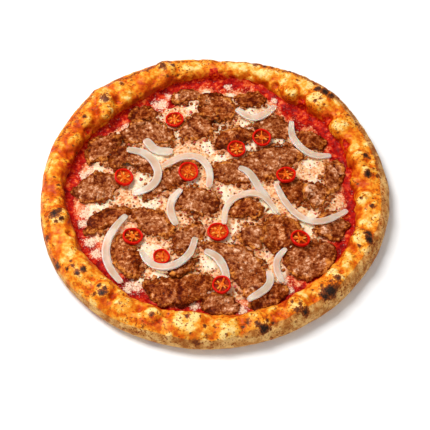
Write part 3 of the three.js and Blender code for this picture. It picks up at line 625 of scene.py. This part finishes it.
def across_rim(points):
    """Angle of points, and their place across the rim: -1 at the inner side, 1 at the outer side."""
    angle, reach = polar(points)
    inner, outer = inner_radius(angle), np.interp(angle % TURN, COLUMN_ANGLES, OUTER_RADII)
    return angle, (reach - 0.5 * (inner + outer)) / (0.5 * (outer - inner))


def rise(points, spots):
    """How far the rounded swellings, given by place, radius and height in mm, lift the points."""
    total = np.zeros(len(points))
    for place, radius, height in spots:
        distance = np.linalg.norm(points - np.array(place), axis=1) / radius
        total += height * MM * np.clip(1 - distance**2, 0, 1) ** 1.5
    return total


def rings_around(points, spots):
    """Soft rings at the edges of swellings, used as painted shade, at full strength where these are 3 mm
    high.
    """
    total = np.zeros(len(points))
    for place, radius, height in spots:
        distance = np.linalg.norm(points - np.array(place), axis=1) / radius
        strength = min(1.0, height / 3)
        ring = strength * np.exp(-(((distance - 0.92) / 0.16) ** 2))
        total = np.where(distance < 0.7, total * (1 - strength), np.maximum(total, ring))
    return total


def plain_crust():
    """Corners and faces of the crust as the frame has it, with its sections made finer."""
    lengths = np.linalg.norm(np.diff(FINE_SECTIONS, axis=1), axis=2).mean(axis=0)
    places = [0.0]
    for corner, length in enumerate(lengths):
        parts = max(1, round(length / CRUST_SPACING))
        places.extend(corner + (part + 1) / parts for part in range(parts))
    profile = between(FINE_SECTIONS.swapaxes(0, 1), np.array(places), closed=False)
    radius, height = profile[..., 0], np.maximum(profile[..., 1], 0)
    directions = np.stack([np.cos(COLUMN_ANGLES), np.sin(COLUMN_ANGLES)], axis=-1)
    flat = MIDDLE + radius[..., None] * directions
    skin = np.concatenate([flat, height[..., None]], axis=-1)
    shares = np.linspace(0, 1, UNDERSIDE_RINGS + 1)[1:-1]
    underside = MIDDLE + shares[:, None, None] * (flat[0] - MIDDLE)
    underside = np.concatenate([underside, np.zeros_like(underside[..., :1])], axis=-1)
    vertices = np.concatenate([underside.reshape(-1, 3), skin.reshape(-1, 3),
                               [[*MIDDLE, 0], [*MIDDLE, height[-1].mean()]]])
    return vertices, capped(len(underside) + len(skin), CRUST_COLUMNS)


def blisters(points, across, scorch):
    """Height of the baked skin's lumps and grit, lower on the outer side."""
    side = smooth_step(0.3, 0.6, across) * (1 - smooth_step(13 * MM, 17 * MM, points[:, 2]))
    lumps = 0.5 * noise(points, 16 * MM, 1) + 1.2 * domes(points, 10 * MM, 21)
    lumps += 0.4 * domes(points, 4.5 * MM, 25) + 0.2 * noise(points, 2.4 * MM, 2)
    lumps += 0.4 * scorch * noise(points, 2 * MM, 3)
    return MM * lumps * (1 - 0.75 * side)


def floury(angle, across, z, wander):
    """1 on the pale outer side and underside, and 0 where the crust is baked brown."""
    right = smooth_step(-0.1, 0.7, np.cos(angle + 0.15))
    left = smooth_step(0.3, 0.9, -np.cos(angle))
    limit = 0.62 - 0.3 * right + 0.15 * left
    band = smooth_step(limit, limit + 0.2, across + 0.06 * wander)
    low = 1 - smooth_step(15.5 * MM, 17.5 * MM, z + 1.2 * MM * wander + 4 * MM * left)
    return band * np.maximum(low, right) + smooth_step(2.5 * MM, 1 * MM, z)


def inward_shade(mesh, angle, across, wander):
    """How far the crust's skin looks towards the toppings, for the painted shade there."""
    tilt = vertex_normals(mesh)
    inward = -(tilt[:, 0] * np.cos(angle) + tilt[:, 1] * np.sin(angle))
    return (0.6 * smooth_step(0.5, 1.0, inward)
            + 0.5 * smooth_step(-0.5, -0.95, across + 0.15 * wander))


def make_crust(finish):
    """The baked dough: rim, outer side, underside and the floor under the sauce."""
    plain, faces = plain_crust()
    angle, across = across_rim(plain)
    z = plain[:, 2]
    scorch = spots_mask(plain, located(SCORCHES), 11, blur=0.9)
    smear = spots_mask(plain, located(SMEARS), 12, blur=0.5)
    blush = spots_mask(plain, located(BLUSHES), 13, blur=0.9)
    pale = spots_mask(plain, located(PALE_PLACES), 14, blur=0.9)
    bubble_spots = located(BUBBLES)
    bubbles, creases = rise(plain, bubble_spots), rise(plain, located(CREASES))
    # Painted shade: a darker ring round the foot of each bubble.
    edges = rings_around(plain, bubble_spots)
    relief = blisters(plain, across, scorch)
    top = smooth_step(2 * MM, 7 * MM, z) * smooth_step(-1.3, -0.9, across)
    normals = vertex_normals(new_mesh("plain", plain, *faces))
    vertices = plain + normals * (top * (relief + bubbles - creases))[:, None]
    vertices[:, 2] = below_ceiling(np.maximum(vertices[:, 2], 0), frame_top("crust"))
    mesh = new_mesh("crust", vertices, *faces)

    wander = noise(vertices, 7 * MM, 5)
    lip = (z - 18 * MM + 1.2 * MM * wander) / (1.3 * MM)
    ledge = smooth_step(0.2, 0.5, across) * np.exp(-(lip**2))
    # Colour level of the crust: its baking, with painted highlight on lumps and bubbles and painted shade
    # in the creases.
    bulge = 0.55 + (0.2 * relief + 0.06 * bubbles - 0.12 * creases) / MM
    # Painted shade and a painted red reflection of the sauce where the skin faces the toppings.
    bulge -= 0.3 * inward_shade(mesh, angle, across, wander) + 0.15 * ledge
    # Deeper orange and paler spots: partly baking, partly painted shade and painted light.
    bulge -= 0.24 * (blush - pale) + 0.22 * edges
    low = 1 - smooth_step(7 * MM, 12 * MM, z + 2 * MM * wander)
    stain = np.maximum(low * smooth_step(-0.5, -0.9, across), smear)
    charred = np.maximum(scorch, ledge * (0.3 + 0.2 * np.sin(angle)))
    add_piece("baked_crust", mesh, finish, "crust", ["crust"], bulge=bulge, stain=stain,
              flour=floury(angle, across, z, wander), scorch=charred,
              toast=smooth_step(0.6 * MM, 3 * MM, bubbles) * top)


# ---- Sauce and cheese ----

SAUCE_HEIGHT = 5.7 * MM
CHEESE_HEIGHT = 7.6 * MM
SHEET_SPACING = 0.85 * MM
SAUCE_START = 70 * MM  # inside this radius the sauce lies under the cheese
SAUCE_COLUMNS = 720
CHEESE_COLUMNS = 600

# Pools of white cheese: column and row in the photograph, radius in mm.
POOLS = [
    (161, 104, 6), (127, 128, 4.5), (120, 134, 4.5), (159, 118, 3.5), (178, 133, 4.5), (93, 170, 6),
    (84, 174, 5), (144, 180, 5), (158, 156, 5), (137, 187, 5), (198, 105, 6), (247, 124, 5),
    (221, 131, 4.5), (207, 145, 4), (211, 150, 3.5), (221, 159, 4.5), (252, 148, 5), (192, 184, 5),
    (227, 192, 5.5), (279, 142, 5), (310, 164, 4), (315, 182, 4), (257, 182, 5), (278, 181, 3),
    (150, 202, 6.5), (87, 213, 6.5), (83, 222, 4), (90, 241, 5.5), (96, 253, 5), (144, 250, 5),
    (155, 252, 5.5), (226, 195, 5), (202, 240, 4.5), (210, 262, 6), (265, 206, 5), (274, 211, 4),
    (237, 229, 4), (229, 243, 4), (307, 227, 5), (312, 216, 3.5), (289, 248, 3), (136, 284, 7),
    (161, 274, 5), (128, 288, 4.5), (207, 294, 4.5), (241, 309, 5), (195, 305, 4), (236, 305, 3.5),
    (283, 280, 4.5), (289, 289, 3.5), (233, 96, 4.5), (228, 86, 3), (252, 112, 4), (97, 100, 2),
    (190, 173, 3), (120, 152, 3.5), (118, 143, 3), (142, 158, 3.5), (206, 92, 3), (168, 95, 3.5),
    (103, 205, 4), (110, 198, 4), (317, 205, 3), (299, 240, 3), (264, 106, 3), (274, 100, 3),
]


def sheet(name, heights, reach, floor, columns, start=SHEET_SPACING):
    """A closed round sheet, whose top is given by a function of its corners."""
    angles = np.arange(columns) / columns * TURN
    rows = round((reach.mean() - start) / SHEET_SPACING)
    shares = np.linspace(0, 1, rows)[:, None]
    radius = start + shares * (np.interp(angles, COLUMN_ANGLES, reach) - start)
    top = np.stack([MIDDLE[0] + radius * np.cos(angles), MIDDLE[1] + radius * np.sin(angles),
                    np.zeros_like(radius)], axis=-1).reshape(-1, 3)
    top = np.concatenate([top, [[*MIDDLE, 0]]])
    top[:, 2] = heights(top)
    foot = top[-1 - columns:-1].copy()
    foot[:, 2] = floor
    vertices = np.concatenate([top[:-1], foot, [top[-1], [*MIDDLE, floor]]])
    return new_mesh(name, vertices, *capped(rows + 1, columns, -1)), vertices


def sauce_lumps(points):
    level = points * LEVEL
    return 0.6 * domes(level, 9 * MM, 31) + 0.4 * noise(level, 4 * MM, 34, 3)


def sauce_height(points):
    """Chunky sauce that climbs a little way up the rim."""
    angle, reach = polar(points)
    gap = inner_radius(angle) - reach
    climb = 2.6 * MM * np.exp(-np.maximum(gap, 0) / (2.2 * MM))
    climb *= 1 + 0.5 * noise(points * LEVEL, 5 * MM, 33)
    return SAUCE_HEIGHT + 0.9 * MM * sauce_lumps(points) + climb


def pool_mask(points):
    """1 in the pools of white cheese and 0 outside them, as seen from above."""
    pools = [(seen_at_height(column, row, CHEESE_HEIGHT), radius * MM, 1.0)
             for column, row, radius in POOLS]
    return spots_mask(points * LEVEL + (0, 0, CHEESE_HEIGHT), pools, 42, blur=0.6)


def make_sauce(finish):
    mesh, vertices = sheet("sauce", sauce_height, INNER_RADII + 4 * MM, SAUCE_HEIGHT - 1.2 * MM,
                           SAUCE_COLUMNS, SAUCE_START)
    angle, reach = polar(vertices)
    near_cheese = smooth_step(1 * MM, 13 * MM, inner_radius(angle) - reach)
    milky = near_cheese * (0.75 + 0.35 * noise(vertices * LEVEL, 16 * MM, 35))
    # The lump mark carries the painted highlight and painted shade of the lumps.
    add_piece("tomato_sauce", mesh, finish, "sauce", ["sauce"], milky=milky,
              lump=0.5 + 0.5 * sauce_lumps(vertices), pool=pool_mask(vertices))


def cheese_edge():
    """How far the frame's cheese reaches, for each of the crust's columns."""
    vertices, _ = welded("cheese")
    angle, reach = polar(vertices)
    foot = (vertices[:, 2] < SAUCE_HEIGHT + 0.3 * MM) & (reach > 80 * MM)
    return np.interp(COLUMN_ANGLES, angle[foot] % TURN, reach[foot], period=TURN)


def make_cheese(finish, walls):
    """Melted cheese, in thick white pools, thinner between them, that clings to the slices."""
    edge = cheese_edge()

    def share_of_full(points):
        angle, reach = polar(points)
        limit = np.interp(angle % TURN, COLUMN_ANGLES, edge)
        limit = limit + 3.5 * MM * noise(points * LEVEL, 9 * MM, 41)
        return smooth_step(3 * MM, -6 * MM, reach - limit)

    def beside(points):
        away = np.array([walls.find(point)[2] for point in points * LEVEL])
        return np.exp(-((away / (2.2 * MM)) ** 2))

    def height(points):
        share, level = share_of_full(points), points * LEVEL
        lumps = 0.35 * MM * noise(level, 3 * MM, 43) + 0.3 * MM * noise(level, 8 * MM, 44)
        full = CHEESE_HEIGHT - 0.5 * MM + 0.6 * MM * pool_mask(points) + lumps
        low = SAUCE_HEIGHT - 1 * MM
        return low + share * (full - low) + share * 1.5 * MM * beside(points)

    mesh, vertices = sheet("cheese", height, edge + 3 * MM, SAUCE_HEIGHT - 1.1 * MM,
                           CHEESE_COLUMNS)
    add_piece("melted_cheese", mesh, finish, "cheese", ["cheese"], pool=pool_mask(vertices),
              thin=1 - share_of_full(vertices), beside=beside(vertices))


# ---- Meat ----

MEAT_COUNT = 32
MEAT_VOXEL = 0.62 * MM
DARK_SLICES = {3, 4, 10, 11, 13, 15, 18, 20, 23, 24, 27, 30}
PALE_SLICES = {5, 7, 14, 17, 19, 22, 26, 28}
# Slices lighter or darker than the others of their tone.
LIGHTNESS = {4: -0.04, 6: -0.04, 7: -0.03, 9: -0.04, 11: -0.1, 15: -0.06, 16: 0.1, 17: 0.14,
             20: -0.06, 25: -0.06, 28: -0.04, 31: -0.03}


def outline_points(vertices, triangles, spacing=0.5 * MM):
    """Points along the edges where a slice's wall meets its faces."""
    a, b, c = (vertices[triangles[:, i]] for i in range(3))
    normal = np.cross(b - a, c - a)
    steep = np.abs(normal[:, 2]) < 0.6 * np.linalg.norm(normal, axis=1)
    sides = {}
    for triangle, wall in zip(triangles, steep):
        for i in range(3):
            pair = tuple(sorted((triangle[i], triangle[(i + 1) % 3])))
            sides.setdefault(pair, []).append(wall)
    points = []
    for (start, end), walls in sides.items():
        if any(walls) and not all(walls):
            steps = max(1, int(np.linalg.norm(vertices[end] - vertices[start]) / spacing))
            points.extend(vertices[start] + (vertices[end] - vertices[start]) * i / steps
                          for i in range(steps))
    return np.array(points)


def slice_walls():
    """A search tree of points along the outlines of the slices, as seen from above."""
    outlines = [outline_points(*welded(f"meat_{number:02d}")) for number in range(1, MEAT_COUNT + 1)]
    points = np.concatenate(outlines) * LEVEL
    tree = KDTree(len(points))
    for index, point in enumerate(points):
        tree.insert(point, index)
    tree.balance()
    return tree


def from_outline(name, points):
    """Level distances of points from the outline of a slice."""
    outline = outline_points(*welded(name))
    return np.concatenate([
        np.linalg.norm(part[:, None, :2] - outline[None, :, :2], axis=2).min(axis=1)
        for part in np.array_split(points, max(1, len(points) // 2000))
    ])


def warp(points, size, seed):
    """Level shifts that wander smoothly over the surface, from about -1 to 1 both ways."""
    level = points * LEVEL
    return np.stack([noise(level, size, seed), noise(level, size, seed + 7),
                     np.zeros(len(points))], axis=-1)


def fibres(points, number):
    """Fibres and shallow folds that run one way through a slice, from about -1 to 1."""
    heading = number * 1.1
    along = points @ (math.cos(heading), math.sin(heading), 0)
    aside = points @ (-math.sin(heading), math.cos(heading), 0)
    bent = aside + 1.5 * MM * noise(points, 12 * MM, number + 20)
    return noise(np.column_stack([0.25 * along, bent, points[:, 2]]), 2.8 * MM, number + 40)


def make_slice(number, finish):
    """A slice of grilled minced meat: grainy, with a ragged, crumbling, browned outline."""
    name = f"meat_{number:02d}"
    vertices, quads, normals = rounded(name, MEAT_VOXEL)
    distance = from_outline(name, vertices)
    width = 2.8 * MM * (1 + 0.8 * noise(vertices, 7 * MM, number + 30))
    rim = 1 - smooth_step(0.2, 1.4, distance / width)
    # Painted shadow along the slice's outline.
    outline_shadow = 1 - smooth_step(0.3 * MM, 1 * MM, distance)
    upper = smooth_step(0, 0.5, normals[:, 2])
    fibre = fibres(vertices, number)
    vertices = vertices + normals * LEVEL * 0.6 * MM
    vertices = (vertices + 1.6 * MM * warp(vertices, 7 * MM, number)
                + 0.8 * MM * warp(vertices, 2.4 * MM, 60))
    crumble = rim * smooth_step(0.0, 0.6, noise(vertices, 2.6 * MM, number + 50))
    lumps = 0.7 * noise(vertices, 3.8 * MM, 61) + 0.5 * noise(vertices, 9 * MM, number + 90)
    # Pits, sunk into the surface and painted dark as shade.
    pit = smooth_step(0.6, 0.85, noise(vertices, 2.2 * MM, 67)) * upper
    grit = noise(vertices, 1.7 * MM, 69)
    relief = 0.35 * lumps + upper * (0.5 * fibre + 0.2 * grit - 0.3 * pit - 0.8 * crumble)
    mesh = new_mesh(name, vertices + normals * MM * relief[:, None], quads)

    dark = number in DARK_SLICES
    tone = 0.2 if dark else 1.0 if number in PALE_SLICES else 0.65
    lightness = (0.39 if dark else 0.43) + LIGHTNESS.get(number, 0)
    # Grain is lighter on the raised lumps and fibres: painted glints and painted shade with the meat's
    # own mottling.
    add_piece(f"kebab_{number:02d}", mesh, finish, "meat", [name], rim=rim,
              grain=lightness + 0.34 * lumps + 0.24 * fibre,
              pit=np.maximum(0.7 * pit, 0.3 * outline_shadow), tone=np.full(len(vertices), tone))


# ---- Onion ----

ONION_COUNT = 14
STRIP_STEP = 0.7 * MM
STRIP_SECTION = 24  # corners round a strip
STRIP_END = 3.5 * MM  # length over which a strip is rounded off


def strip_stations(name):
    """Sections of an onion strip from one end to the other, each as its five corners."""
    vertices, triangles = welded(name)
    neighbours = [set() for _ in vertices]
    faces_at = np.zeros(len(vertices), int)
    for triangle in triangles:
        for corner in triangle:
            neighbours[corner].update(int(other) for other in triangle if other != corner)
            faces_at[corner] += 1
    ends = [int(i) for i in np.flatnonzero(faces_at != 6)]
    near = sorted(ends, key=lambda i: np.linalg.norm(vertices[i] - vertices[ends[0]]))[:4]
    hub = set.intersection(*(neighbours[i] for i in near)) - set(near)
    rings = [sorted(set(near) | hub)]
    seen = set(rings[0])
    while len(seen) < len(vertices):
        following = set().union(*(neighbours[i] for i in rings[-1])) - seen
        rings.append(sorted(following))
        seen |= following
    return np.array([vertices[ring] for ring in rings])


def sideways(path):
    """Level directions across a path, one for each of its points."""
    heading = np.gradient(path[:, :2], axis=0)
    heading /= np.linalg.norm(heading, axis=1)[:, None]
    return np.stack([-heading[:, 1], heading[:, 0], np.zeros(len(heading))], axis=-1)


def strip_course(name):
    """The strip's length, and at many places along it the middle of its foot, width and height."""
    stations = strip_stations(name)
    low, high = stations[..., 2].min(axis=1), stations[..., 2].max(axis=1)
    middle = stations.mean(axis=1)
    middle[:, 2] = low
    side = sideways(middle)
    spread = np.einsum("ijk,ik->ij", stations - middle[:, None], side)
    most, least = spread.max(axis=1), spread.min(axis=1)
    middle += (0.5 * (most + least))[:, None] * side
    course = np.column_stack([middle, most - least, high - low])
    for _ in range(3):
        course[1:-1] = 0.25 * course[:-2] + 0.5 * course[1:-1] + 0.25 * course[2:]
    length = np.linalg.norm(np.diff(middle, axis=0), axis=1).sum()
    steps = round(length / STRIP_STEP)
    return length, between(course, np.linspace(0, len(course) - 1, steps), closed=False)


def strip_section():
    """Places across a strip, from -1 to 1, and heights, from 0 to 1, round its section."""
    turn = np.arange(STRIP_SECTION) / STRIP_SECTION * TURN
    across = np.sign(np.cos(turn)) * np.abs(np.cos(turn)) ** 0.75
    lift = 0.5 + 0.5 * np.sign(np.sin(turn)) * np.abs(np.sin(turn)) ** 0.7
    return across, lift - 0.2 * (1 - across**2) * (np.sin(turn) > 0)


def facing_out(mesh):
    """The same mesh with all its faces turned outwards."""
    shape = bmesh.new()
    shape.from_mesh(mesh)
    bmesh.ops.recalc_face_normals(shape, faces=shape.faces)
    shape.to_mesh(mesh)
    shape.free()
    return mesh


def make_onion(number, finish):
    """A strip cut from an onion ring: flat on top, with a painted highlight along its edges, and
    lengthwise lines.
    """
    name = f"onion_{number:02d}"
    length, course = strip_course(name)
    across, lift = strip_section()
    steps, side = len(course), sideways(course)
    along = np.linspace(0, 1, steps)
    rounding = np.clip(np.minimum(along, 1 - along) * length / STRIP_END, 0, 1)
    rounding = 0.25 + 0.75 * np.sqrt(1 - (1 - rounding) ** 2)
    place = np.column_stack([along * length, np.full(steps, number), np.zeros(steps)])
    half = 0.54 * course[:, 3] * rounding * (1 + 0.07 * noise(place, 9 * MM, 71))
    centre = course[:, :3] + side * (0.3 * MM * noise(place, 12 * MM, 73))[:, None]
    rings = centre[:, None] + side[:, None] * (half[:, None] * across)[..., None]
    rings[..., 2] += course[:, 4, None] * (0.5 + (lift - 0.5) * rounding[:, None])
    flat = rings.reshape(-1, 3)
    vertices = np.concatenate([flat, [rings[0].mean(axis=0), rings[-1].mean(axis=0)]])
    mesh = new_mesh(name, vertices, *capped(steps, STRIP_SECTION))
    stripe = np.tile(0.5 + 0.5 * np.sin(across * 8 + number), steps)
    stripe = stripe * (0.6 + 0.4 * noise(flat, 5 * MM, 75))
    # Painted highlight along the edges and walls.
    edge = np.tile(smooth_step(0.62, 0.9, np.abs(across)), steps)
    add_piece(f"onion_strip_{number:02d}", facing_out(mesh), finish, "onion", [name],
              stripe=np.append(stripe, [0, 0]), edge=np.append(edge, [1, 1]))


# ---- Chilli ----

CHILLI_COUNT = 11
CHILLI_COLUMNS = 96
CHILLI_WALL = 0.8  # inside of the wall in the frame, as a share of the radius
HUB = 0.2
SPOKE = 0.075
CORNERS_OF_RIM = 20
CORNERS_OF_CHAMBER = 7
FILLED_CHILLIES = {1: 0.3, 2: 0.4, 4: 0.6, 5: 0.6, 8: 0.6, 10: 0.7}  # share of flesh in the chambers
SEEDLESS = 0.35  # share of the chambers that show no seed


def chilli_place(name):
    """Where a ring lies: middle, axes, radius, height, chambers and the first one's turn."""
    vertices, _ = welded(name)
    middle = vertices.mean(axis=0)
    offset = vertices - middle
    _, axes = np.linalg.eigh(offset.T @ offset)
    normal = axes[:, 0] * np.sign(axes[2, 0])
    first = np.cross([0, 1, 0], normal)
    first /= np.linalg.norm(first)
    second = np.cross(normal, first)
    x, y, z = offset @ first, offset @ second, offset @ normal
    radius = np.hypot(x, y)
    chambers = (len(vertices) // 2 - CORNERS_OF_RIM) // CORNERS_OF_CHAMBER
    inner = np.isclose(radius, CHILLI_WALL * radius.max(), rtol=0.01) & (z > 0)
    angles = np.sort(np.arctan2(y[inner], x[inner]) % TURN)
    after = np.diff(np.append(angles, angles[0] + TURN))
    turn = angles[np.argmax(np.minimum(after, np.roll(after, 1)))]
    return middle, (first, second, normal), radius.max(), z.max() - z.min(), chambers, turn


def chilli_section(number, radius, height, chambers, turn):
    """The ring without seeds, in its own frame: corners, faces, and marks of flesh and of the painted
    shade in its chambers.
    """
    wall = CHILLI_WALL + (1 - CHILLI_WALL) * (0.5 - 0.5 * np.cos(np.linspace(0, math.pi, 9)[1:]))
    shares = np.concatenate([np.linspace(0.03, CHILLI_WALL, 30), wall, [1, 1, 0.96]])
    angles = np.arange(CHILLI_COLUMNS) / CHILLI_COLUMNS * TURN
    share, angle = np.meshgrid(shares, angles, indexing="ij")
    flat = np.stack([share * np.cos(angle), share * np.sin(angle), np.full_like(share, number)], -1)
    bumps = noise(flat.reshape(-1, 3), 0.22, 81).reshape(share.shape)
    bend = 0.05 * np.sin(3 * angle + number)
    to_spoke = (angle - turn) % (TURN / chambers) - 0.5 * TURN / chambers + bend
    away = np.abs(np.sin(0.5 * chambers * to_spoke) * 2 / chambers) * share
    away = np.minimum(away, np.maximum(share - HUB, 0))
    star = 1 - smooth_step(SPOKE * 0.7, SPOKE * 1.5, away + 0.03 * bumps)
    in_wall = smooth_step(CHILLI_WALL - 0.05, CHILLI_WALL + 0.02, share)
    crown = np.where(share > CHILLI_WALL, 1 - 0.16 * ((share - 0.9) / 0.1) ** 2, 0.66 + 0.1 * bumps)
    lift = 0.3 + (crown - 0.3) * np.maximum(star, in_wall)
    lift[-3:] = np.array([0.62, 0.3, 0.0])[:, None]
    wobble = 1 + 0.025 * np.sin(2 * angle + number) + 0.015 * np.sin(5 * angle + 2 * number)
    out = share * radius * np.where(share > 0.3, wobble, 1)
    corners = np.stack([out * np.cos(angle), out * np.sin(angle), (lift - 0.5) * height], axis=-1)
    corners = np.concatenate([corners.reshape(-1, 3), [[0, 0, 0.16 * height], [0, 0, -0.5 * height]]])
    filled = FILLED_CHILLIES.get(number, 0.0)
    core = np.append(np.maximum(star, filled) * (1 - in_wall), [1, 0])
    # The chambers end in a floor at 0.3 of the ring's height, painted dark as shade where a real ring is
    # open.
    hollow = np.append((1 - filled) * (1 - star) * (1 - in_wall), [0, 0])
    faces = capped(len(shares), CHILLI_COLUMNS, -1)
    return corners, list(faces), np.column_stack([core, hollow, np.zeros(len(corners))])


def chilli_seed(angle, radius, height, number):
    """A flat round seed beside the middle of a chilli, in the ring's own frame."""
    ball, faces = ball_mesh()
    size = (0.2 * radius, 0.09 * radius, 0.07 * radius)
    tilt = Matrix.Rotation(angle, 3, "Z") @ Matrix.Rotation(0.5 * math.sin(number), 3, "Y")
    out = 0.46 * radius
    place = np.array([out * math.cos(angle), out * math.sin(angle), 0.02 * height])
    return place + (ball * size) @ np.array(tilt).T, faces


def make_chilli(number, finish):
    """A cross-section of a chilli: glossy wall, orange membranes and a few pale seeds."""
    name = f"chilli_{number:02d}"
    middle, axes, radius, height, chambers, turn = chilli_place(name)
    corners, faces, marks = chilli_section(number, radius, height, chambers, turn)
    for i in range(chambers):
        if hashed(np.array([[number, i, 0]]), 85)[0] >= SEEDLESS:
            angle = turn + (i + 0.2) / chambers * TURN
            seed, seed_faces = chilli_seed(angle, radius, height, number + i)
            faces.append(len(corners) + seed_faces)
            corners = np.concatenate([corners, seed])
            marks = np.concatenate([marks, np.tile([0.0, 0.0, 1.0], (len(seed), 1))])
    mesh = new_mesh(name, middle + corners @ np.array(axes), *faces)
    core, hollow, seed = marks.T
    add_piece(f"chilli_ring_{number:02d}", facing_out(mesh), finish, "chilli", [name],
              core=core, hollow=hollow, seed=seed)


# ---- Crumbs ----

STREWN_RADIUS = 108 * MM
CRUMB_SUNK = 0.3  # how deep a crumb sits, as a share of its height


def surface_below(x, y):
    """The topping that shows from above at a place: its height and its object's name."""
    scene = bpy.context.scene
    depsgraph = bpy.context.evaluated_depsgraph_get()
    _, place, _, _, thing, _ = scene.ray_cast(depsgraph, Vector((x, y, 0.1)), Vector((0, 0, -1)))
    return place.z, thing.name


def scatter(name, count, sizes, on, seed, finish, slot, flat=0.7, keep=None):
    """Small ragged lumps, strewn over the toppings whose names start as given."""
    random = np.random.default_rng(seed)
    ball, ball_faces = ball_mesh()
    parts, marks = [], []
    while len(parts) < count:
        radius = STREWN_RADIUS * math.sqrt(random.random())
        angle = TURN * random.random()
        x, y = MIDDLE + radius * np.array([math.cos(angle), math.sin(angle)])
        size = random.uniform(*sizes)
        stretch = random.uniform(0.7, 1.4, 3) * (1, 1, flat)
        spin = Matrix.Rotation(TURN * random.random(), 3, "Z")
        mark = random.random()
        z, below = surface_below(x, y)
        if not below.startswith(on) or (keep and not keep(x, y)):
            continue
        lump = ball * (1 + 0.35 * noise(ball + len(parts) * 7, 0.8, seed))[:, None]
        lump = (lump * stretch * 0.5 * size) @ np.array(spin).T
        parts.append(lump + (x, y, z + (0.5 - CRUMB_SUNK) * size * flat))
        marks.append(mark)
    faces = np.concatenate([index * len(ball) + ball_faces for index in range(count)])
    marks = np.repeat(marks, len(ball))
    add_piece(name, new_mesh(name, np.concatenate(parts), faces), finish, slot,
              grain=0.25 + 0.4 * marks, tone=marks, rim=0.5 * marks)


def strew_crumbs(meat, walls):
    """Crumbs of meat, most of them near the slices, then pepper and bits of tomato."""
    def near_slice(x, y):
        return walls.find((x, y, 0))[2] < 3.5 * MM

    scatter("meat_crumbs", 640, (1.0 * MM, 4.2 * MM), ("melted_cheese",), 5, meat, "meat",
            flat=0.55, keep=near_slice)
    scatter("fine_crumbs", 240, (0.6 * MM, 1.6 * MM), ("melted_cheese",), 8, meat, "meat")
    scatter("pepper_specks", 180, (0.5 * MM, 1.0 * MM), ("melted_cheese", "kebab"), 6,
            crumb_finish("pepper", (20, 12, 8), (70, 44, 30)), "meat")
    scatter("tomato_bits", 90, (0.8 * MM, 2.4 * MM), ("melted_cheese",), 7,
            crumb_finish("tomato", (150, 10, 4), (214, 52, 24)), "sauce", flat=0.4)


# ---- Surroundings ----


def make_floor():
    bpy.ops.mesh.primitive_plane_add(size=12)
    floor = bpy.context.object
    floor.name = "floor"
    f = Finish("floor", Roughness=0.6)
    tint = f.ramp(f.noise(400, 1), (0.4, 246, 246, 246), (0.6, 250, 250, 250))
    floor.data.materials.append(f.finished(tint))


def make_light(name, place, size, power):
    data = bpy.data.lights.new(name, "AREA")
    data.energy = power
    data.size = size
    light = bpy.data.objects.new(name, data)
    bpy.context.scene.collection.objects.link(light)
    light.location = place
    light.rotation_euler = (-light.location).to_track_quat("-Z", "Y").to_euler()


def make_surroundings():
    make_floor()
    make_light("key", (-0.6, 0.35, 1.3), size=0.7, power=23)
    make_light("fill", (0.2, -1.1, 1.0), size=1.2, power=4.2)
    world = bpy.data.worlds.new("studio")
    world.use_nodes = True
    background = world.node_tree.nodes["Background"]
    background.inputs["Color"].default_value = (1, 0.985, 0.96, 1)
    background.inputs["Strength"].default_value = 0.325
    bpy.context.scene.world = world
    bpy.context.scene.view_settings.view_transform = "Standard"


# ---- The pizza ----


def make_each(make, count, finish):
    for number in range(1, count + 1):
        make(number, finish)


make_camera()
slice_outlines = slice_walls()
make_crust(crust_finish())
make_sauce(sauce_finish())
make_cheese(cheese_finish(), slice_outlines)
meat_material = meat_finish()
make_each(make_slice, MEAT_COUNT, meat_material)
make_each(make_onion, ONION_COUNT, onion_finish())
make_each(make_chilli, CHILLI_COUNT, chilli_finish())
strew_crumbs(meat_material, slice_outlines)
make_surroundings()
